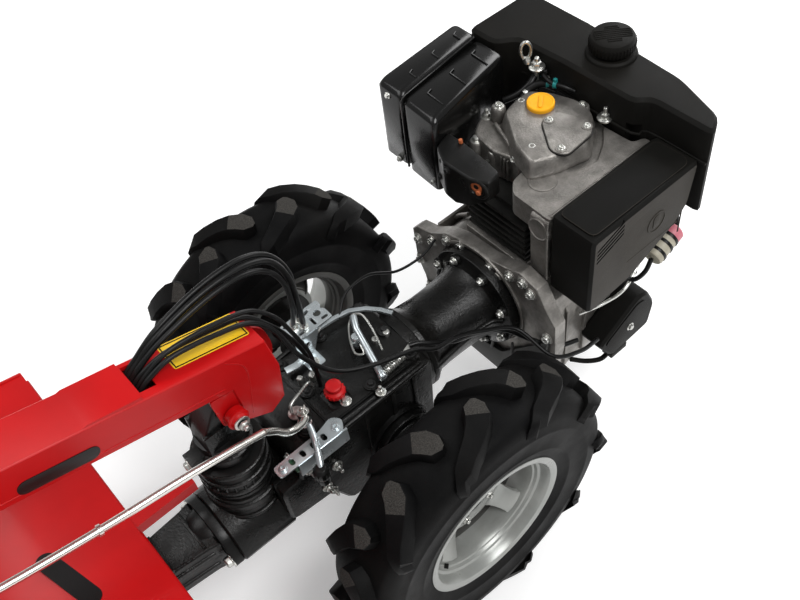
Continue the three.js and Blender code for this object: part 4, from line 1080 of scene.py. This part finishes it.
def steering():
    unit = "handlebar_unit"
    refined("column", "red", 4.0, 3, body=unit)
    s = Shape()
    slope = atan2(89, 349)

    label(s, soft([(-168, -15), (-168, 37), (-285, 37), (-285, -15)], 4, 3), column_top, -0.4, 0.9)
    piece("blank_sticker", s, "yellow", body=unit)
    x0, x1, y0, y1 = -170, -283, -13, 35
    u0, u1, v0, v1 = -172, -281, -11, 33
    for quad in ([(x0, y0), (x0, y1), (u0, v1), (u0, v0)], [(x0, y1), (x1, y1), (u1, v1), (u0, v1)],
                 [(x1, y1), (x1, y0), (u1, v0), (u1, v1)], [(x1, y0), (x0, y0), (u0, v0), (u1, v0)]):
        label(s, quad, column_top, 0.3, 0.5)
    piece("sticker_border", s, "label_black", body=unit)

    # Blank black badge on the column's side.
    plate(s, pill(-477, 659, 44, 12, -slope), "y", -40.2, -38.8)
    piece("column_badge", s, "label_black", body=unit, bevel=0.3)

    # Folds along the cheeks, the inner lobe at the front end, and the rear clamp bolts.
    for sd in (-1, 1):
        tube(s, [(-240, sd * 38.9, 590), (-400, sd * 38.9, 630), (-700, sd * 38.9, 705)], 1.2, 6, 4)
        tube(s, [(-226, sd * 38.9, 640), (-200, sd * 38.9, 600), (-214, sd * 38.9, 500)], 1.2, 6, 5)
    lobe = soft([(-160, 600), (-130, 566), (-124, 520), (-136, 482), (-164, 474), (-200, 500), (-200, 600)],
                16, 4)
    plate(s, lobe, "y", 28, 34)
    piece("column_folds", s, "red", body=unit, bevel=0.6)
    for sd in (-1, 1):
        bolt(s, (-840, sd * 39, 765), (0, sd, 0), 7, 6)
    piece("column_bolts", s, "steelbolt", body=unit, bevel=0.4)

    # Long shift rod with its knob, and the cranked end on the gear lever.
    rod = [(-221.5, -72, 490.2), (-272, -72, 503), (-357, -72, 521), (-483, -72, 542), (-640, -70, 574),
           (-800, -66, 622), (-872, -62, 650), (-890, -60, 690), (-894, -60, 730)]
    tube(s, rod, 6.2, 16, 6)
    ring(s, [(5.5, -3), (8.8, -3), (8.8, 3), (5.5, 3)], rod[3], (1, 0, -0.2), 20)
    piece("shift_rod_bar", s, "chrome", body=unit, nodes=("shift_rod",))
    post(s, -894, -60, [(8, 720), (12, 726), (15.5, 738), (14, 750), (8, 757), (3, 758.5)], 36)
    piece("shift_knob", s, "plastic", body=unit)
    block(s, -806, -794, -70, -39.4, 633, 640)
    ring(s, [(7.2, -6), (12, -6), (12, 6), (7.2, 6)], (-800, -66, 622), (1, 0, -0.28), 28)
    piece("rod_guide", s, "black", body=unit, bevel=0.6)
    tube(s, [(-143, -56, 433), (-148, -64, 440), (-162, -71, 441), (-187, -72, 449), (-204, -72, 473),
             (-221.4, -72, 490.1)], 6.2, 16, 6)
    between = ("chassis", "swivel", to_part((-150, -70, 441)), to_part((-221, -72, 490)))
    piece("shift_rod_crank", s, "chrome", body=between, nodes=("shift_rod_end",))
    lathe(s, [(11, -7), (11, 7), (9, 8)], (-146, -58, 436), (0, 0.3, 1), 28)
    piece("rod_end_joint", s, "black", bevel=0.6)
    nut(s, (-146, -56, 443), (0, 0.3, 1), 7, 6, 4)
    for sd in (-1, 1):
        tube(s, [(-146 + sd * 3, -64, 452), (-140, -54, 456)], 1.0, 6, 3)
    piece("rod_end_nut", s, "steelbolt", bevel=0.4)

    # Handlebar, grips and hand levers.
    arm = [(-850, 30, 770), (-890, 90, 782), (-930, 190, 806), (-1000, 262, 846), (-1120, 288, 905),
           (-1226, 290, 953)]
    for sd in (1, -1):
        tube(s, [(x, sd * y, z) for x, y, z in arm], 15, 20, 10)
    bar(s, [(-874, -78, 776), (-874, 78, 776)], 15, 20)
    plate(s, soft([(-892, 745), (-870.4, 745), (-870.4, 805), (-892, 805)], 5, 3), "y", -30, 30)
    piece("handlebar_tube", s, "black", body=unit, bevel=0.8, nodes=("handlebar",), sharp=45)
    for word, sd in (("left", 1), ("right", -1)):
        a, b = Vector((-1221, sd * 290, 950.4)), Vector((-1340, sd * 290, 1004))
        d = (b - a).normalized()
        prof = [(21, 0), (24.5, 1.5), (24.5, 5), (19, 7)]
        n = 18
        for i in range(n):
            h = 10 + i * 6.0
            prof += [(19.6, h), (18.0, h + 1.6), (18.0, h + 3.2), (19.6, h + 4.6)]
        length = (b - a).length
        prof += [(20, length - 5), (19, length - 1), (14, length)]
        lathe(s, prof, a, d, 32)
        piece("grip_moulded_" + word, s, "rubber", body=unit, nodes=("grip_" + word,), sharp=50)
        tube(s, [(-1150, sd * 286, 885), (-1180, sd * 288, 878), (-1230, sd * 290, 898),
                 (-1310, sd * 290, 944)], [6.5, 7.5, 7, 6.4], 14, 8, flat=0.7)
        piece("hand_lever_blade_" + word, s, "red", body=unit, nodes=("hand_lever_" + word,))
        d2 = Vector((-0.9, 0, 0.42))
        lathe(s, [(19, -9), (19, 9), (17, 10)], (-1150, sd * 287, 919), d2, 28)
        block(s, -1163, -1139, sd * 286 - 9, sd * 286 + 9, 884, 908)
        bolt(s, (-1151, sd * 286 - 9, 890), RIGHT, 5, 4)
        piece("lever_clamp_" + word, s, "black", body=unit, bevel=0.7)
        tube(s, [(-1146, sd * 284, 882), (-1110, sd * 276, 862), (-1040, sd * 262, 842),
                 (-950, sd * 180, 792), (-900, sd * 60, 752), (-878, sd * 24, 738)], 3.6, 10)
        piece("lever_cable_" + word, s, "rubber", body=unit)
    refined("control_box", "plastic", 2.5, 3, body=unit)
    lathe(s, [(7, 0), (8.5, 6), (7, 13), (3, 15)], (-836, 16, 876), (-0.28, 0, 1))
    piece("throttle_knob", s, "redcap", body=unit)
    for y in (-30, 30):
        bolt(s, (-793, y, 818), (0.86, 0, 0.5), 4, 3, "socket", False)
    ring(s, [(10, 0), (14, 0), (14, 4), (10, 4)], (-828, -18, 838), (-0.34, 0, 1), 28)
    piece("control_screws", s, "steelbolt", body=unit, bevel=0.3)


def cables():
    """Black cables from the engine into the column, each made as a low piece near the chassis and a high
    piece along the column.
    """
    mouth = -190           # X where a high cable's upper half begins
    front = -152           # X where a low cable has come fully onto the column
    # node, radius, whether it lies close over the column's front end, route
    routes = [
        ("cable_1", 5.0, False, [
            (-372, 18, 646), (-344, 18, 660.5), (-318, 19, 676), (-280, 22, 695), (-202, 33, 704),
            (-130, 40, 697), (-81, 45, 666), (-57, 50, 603), (-49, 62, 520), (-46, 70, 462)]),
        ("cable_2", 4.2, True, [
            (-372, 2, 646), (-344, 2, 660.5), (-318, 2, 675), (-278, 2, 681), (-208, 5, 662), (-160, 10, 638),
            (-130, 13, 592), (-106, 15, 541), (-86, 10, 480), (-76, 4, 404)]),
        ("cable_3", 4.0, True, [
            (-372, -14, 646), (-344, -14, 660.5), (-318, -13, 676), (-278, -12, 684), (-208, -10, 665),
            (-160, -8, 641), (-128, -6, 590), (-104, -14, 510), (-66, -40, 458), (-6, -62, 437),
            (66, -74, 418), (101, -88, 402), (150, -88, 388), (200, -98, 366), (256, -122, 340),
            (274, -190, 310), (330, -206, 284), (384, -200, 262)]),
        (None, 4.6, False, [
            (-372, 24, 646), (-344, 25, 660.5), (-318, 26, 677), (-274, 31, 698), (-198, 43, 707),
            (-124, 51, 700), (-76, 57, 666), (-50, 62, 604), (-43, 76, 524), (-44, 85, 462)]),
        (None, 4.2, False, [
            (-372, 10, 646), (-344, 10, 660.5), (-318, 11, 678), (-276, 14, 694), (-200, 23, 701),
            (-134, 30, 692), (-92, 36, 660), (-68, 46, 600), (-60, 62, 524), (-60, 80, 460)]),
        (None, 3.6, True, [
            (-372, -6, 646), (-344, -6, 660.5), (-318, -6, 677), (-278, -5, 690), (-208, -2, 677),
            (-154, 2, 654), (-118, 4, 606), (-98, 2, 548), (-84, -6, 486), (-84, -10, 404)]),
    ]
    s = Shape()
    for i, (node, r, low, pts) in enumerate(routes):
        line = curve(pts, 10)
        over = [k for k in range(len(line)) if line[k].x < -90 and line[k].z > 480]
        cut = max(over) if low else min(range(len(line)), key=lambda k: abs(line[k].x - mouth))
        full = min(over, key=lambda k: abs(line[k].x - front)) if low else 0
        upper, lower = line[:cut + 1], line[cut:]
        bar(s, upper, r, 12)
        ends = to_part(upper[-1]), to_part(line[full])
        piece("cable_upper_%d" % (i + 1), s, "rubber", body=("swivel", "handlebar_unit", *ends))
        bar(s, lower, r, 12)
        ends = to_part(lower[min(len(lower) - 1, 44)]), to_part(lower[0])
        piece("cable_lower_%d" % (i + 1), s, "rubber", body=("chassis", "swivel", *ends),
              nodes=(node,) if node else ())


steering()
cables()


# ---------- rotary tiller ----------
def tiller():
    refined("tiller_hood", "red", 3.0, 3)
    refined("rear_flap", "red", 1.2, 2, body="flap")
    refined("depth_skid", "black", 1.5, 2)
    refined("tiller_gearcase", "casting", 4.0, 3)
    s = Shape()
    for x0, z0, x1, z1 in ((-470, 402.6, -556, 426.2), (-648, 424, -756, 381)):
        for yy in (-300, -180, 180, 300):
            tube(s, [(x0, yy, z0 + 1), ((x0 + x1) / 2, yy, (z0 + z1) / 2 + 3.4), (x1, yy, z1 + 1)], 5, 8, 4,
                 flat=0.8)
    for sd in (-1, 1):
        tube(s, [(-446, sd * 376, 402), (-560, sd * 376, 427), (-640, sd * 376, 425), (-760, sd * 376, 379),
                 (-806, sd * 376, 335)], 3.4, 8, 6)
        edge = [(-472, 212), (-560, 124), (-728, 124), (-788, 212)]
        bar(s, [(x, sd * 380.6, z) for x, z in edge], 3.0, 8)
        lathe(s, [(52, 0), (50, 4), (46, 6), (28, 6), (26, 12), (22, 13)], (ROTOR_X, sd * 380, ROTOR_Z),
              (0, sd, 0), 48)
        plate(s, [(-443, 374), (-443, 402), (-560, 425.8), (-600, 425), (-600, 400), (-480, 374)], "y",
              sd * 376, sd * 381.2)
    bar(s, [(-442, -380, 373), (-442, 380, 373)], 3.6, 8)
    piece("hood_folds", s, "red", bevel=0.0)
    label(s, pill(-557, -30, 46, 15, -1.31), lambda x: 402.4 + (-442 - x) * (24 / 118), -1, 1.7)
    piece("hood_badge", s, "label_black", bevel=0.0)
    for sd in (-1, 1):
        for k in range(4):
            t = radians(45 + 90 * k)
            bolt(s, (ROTOR_X + 38 * cos(t), sd * 386, ROTOR_Z + 38 * sin(t)), (0, sd, 0), 6, 5)
        bolt(s, (-812, sd * 372, 322), (0, sd, 0), 6, 5)
    bolt(s, (-773, -16, 392), RIGHT, 8, 8)
    for k in range(6):
        t = radians(60 * k)
        for sd in (-1, 1):
            bolt(s, (-596 + 24 * cos(t), sd * 32, 206 + 24 * sin(t)), (0, sd, 0), 5, 4)
    piece("tiller_bolts", s, "steelbolt", bevel=0.4)
    for sd in (-1, 1):
        lathe(s, [(44, 28), (42, 36), (38, 38), (22, 38)], (ROTOR_X, 0, ROTOR_Z), (0, sd, 0), 40)
        tube(s, [(-556, sd * 31, 330), (-590, sd * 32.5, 240), (-600, sd * 32, 190)], 5, 8, 5)
    piece("gearcase_ribs", s, "casting", bevel=0.8)

    # Rotor: shaft, flanges and curved tines.
    lathe(s, [(20, -352), (20, 352), (18, 353)], (ROTOR_X, 0, ROTOR_Z), (0, 1, 0), 36)
    for sd in (-1, 1):
        for k, y in enumerate((96, 206, 316)):
            ring(s, [(20, -5), (60, -5), (60, 5), (20, 5)], (ROTOR_X, sd * y, ROTOR_Z), (0, 1, 0), 36)
            lathe(s, [(27, -14), (27, 14)], (ROTOR_X, sd * y, ROTOR_Z), (0, 1, 0))
            for i in range(4):
                t0 = i * 90 + k * 30
                flip = 1 if i % 2 else -1
                loops = []
                for r, lag, off in ((34, 0, 0), (70, 2, 0), (104, 6, 0), (126, 12, 3), (138, 18, 14),
                                    (143, 24, 30), (144, 29, 43)):
                    a, w = radians(t0 + lag), radians(15 * 34 / r if r < 90 else 10)
                    loop = []
                    for da, thick in ((-w, 0), (w, 0), (w, 7), (-w, 7)):
                        # past the bend the blade lies across, so its thickness points inwards
                        deep, out = (thick, 0) if off > 10 else (0, thick)
                        loop.append((ROTOR_X - (r - deep) * sin(a + da),
                                     sd * y + flip * (5.2 + off + out),
                                     ROTOR_Z + (r - deep) * cos(a + da)))
                    loops.append(loop)
                loft(s, loops)
                p = (ROTOR_X - 44 * sin(radians(t0)), sd * y - flip * 5,
                     ROTOR_Z + 44 * cos(radians(t0)))
                bolt(s, p, (0, -flip, 0), 6, 5, washer=False)
    piece("rotor_tines", s, "steel", body="tiller_rotor", bevel=0.5, nodes=("rotor",))


tiller()


# ---------- stage ----------
def camera():
    data = bpy.data.cameras.new("camera")
    data.lens, data.sensor_width, data.sensor_fit = 43.05, 36.0, "HORIZONTAL"
    data.clip_end = 50
    cam = bpy.data.objects.new("camera", data)
    right = Vector((0.752729, -0.650928, -0.098445))
    up = Vector((0.557344, 0.550509, 0.621537))
    look = Vector((0.350381, 0.522717, -0.777175))
    m = Matrix((right, up, -look)).transposed().to_4x4()
    m.translation = Vector((-0.107, -0.837, 1.717))
    cam.matrix_world = m
    bpy.context.collection.objects.link(cam)
    bpy.context.scene.camera = cam


def seen_by(tree, *kinds):
    """1 for the rays of these kinds and 0 for the others."""
    path = shader(tree, "LightPath")
    total = path.outputs[kinds[0]]
    for kind in kinds[1:]:
        larger = shader(tree, "Math", "MAXIMUM")
        tree.links.new(total, larger.inputs[0])
        tree.links.new(path.outputs[kind], larger.inputs[1])
        total = larger.outputs[0]
    return total


def floor():
    me = bpy.data.meshes.new("floor")
    s = 12
    me.from_pydata([(-s, -s, 0), (s, -s, 0), (s, s, 0), (-s, s, 0)], [], [(0, 1, 2, 3)])
    ob = bpy.data.objects.new("floor", me)
    ob.location.z = -0.0006
    bpy.context.collection.objects.link(ob)
    m = bpy.data.materials.new("floor")
    m.use_nodes = True
    nt = m.node_tree
    bsdf = nt.nodes["Principled BSDF"]
    for key, value in (("Base Color", (0.86, 0.86, 0.86, 1)), ("Roughness", 0.9), ("Specular IOR Level", 0.1),
                       ("Emission Color", (1, 1, 1, 1))):
        bsdf.inputs[key].default_value = value
    link = nt.links.new
    seen = seen_by(nt, "Is Camera Ray", "Is Glossy Ray", "Is Transmission Ray")
    length = shader(nt, "VectorMath", "LENGTH")
    link(shader(nt, "TexCoord").outputs["Object"], length.inputs[0])
    # Far from the machine the floor turns white.
    fade = shader(nt, "MapRange", From_Min=1.2, From_Max=4.0, To_Min=0.30, To_Max=1.0)
    link(length.outputs["Value"], fade.inputs["Value"])
    glow = shader(nt, "Math", "MULTIPLY")
    link(seen, glow.inputs[0])
    link(fade.outputs["Result"], glow.inputs[1])
    link(glow.outputs[0], bsdf.inputs["Emission Strength"])
    me.materials.append(m)


def lights():
    world = bpy.data.worlds.new("studio")
    bpy.context.scene.world = world
    world.use_nodes = True
    nt = world.node_tree
    bg = nt.nodes["Background"]
    mix = shader(nt, "Mix", A=0.40, B=1.0)
    nt.links.new(seen_by(nt, "Is Camera Ray", "Is Transmission Ray"), mix.inputs["Factor"])
    bg.inputs["Color"].default_value = (1, 1, 1, 1)
    nt.links.new(mix.outputs["Result"], bg.inputs["Strength"])
    for name, place, aim, size, watts in [
            ("key", (0.9, -2.0, 3.5), (0.2, 0, 0.4), 1.7, 95),
            ("side", (3.0, 0.6, 2.0), (0.2, 0, 0.4), 1.6, 40),
            ("top", (-0.9, 1.6, 3.6), (0.1, 0, 0.3), 2.0, 46)]:
        data = bpy.data.lights.new(name, "AREA")
        data.shape, data.size, data.energy = "SQUARE", size, watts
        ob = bpy.data.objects.new(name, data)
        ob.location = place
        ob.rotation_euler = (Vector(aim) - Vector(place)).to_track_quat("-Z", "Y").to_euler()
        bpy.context.collection.objects.link(ob)


camera()
floor()
lights()
bpy.context.scene.view_settings.view_transform = "Standard"
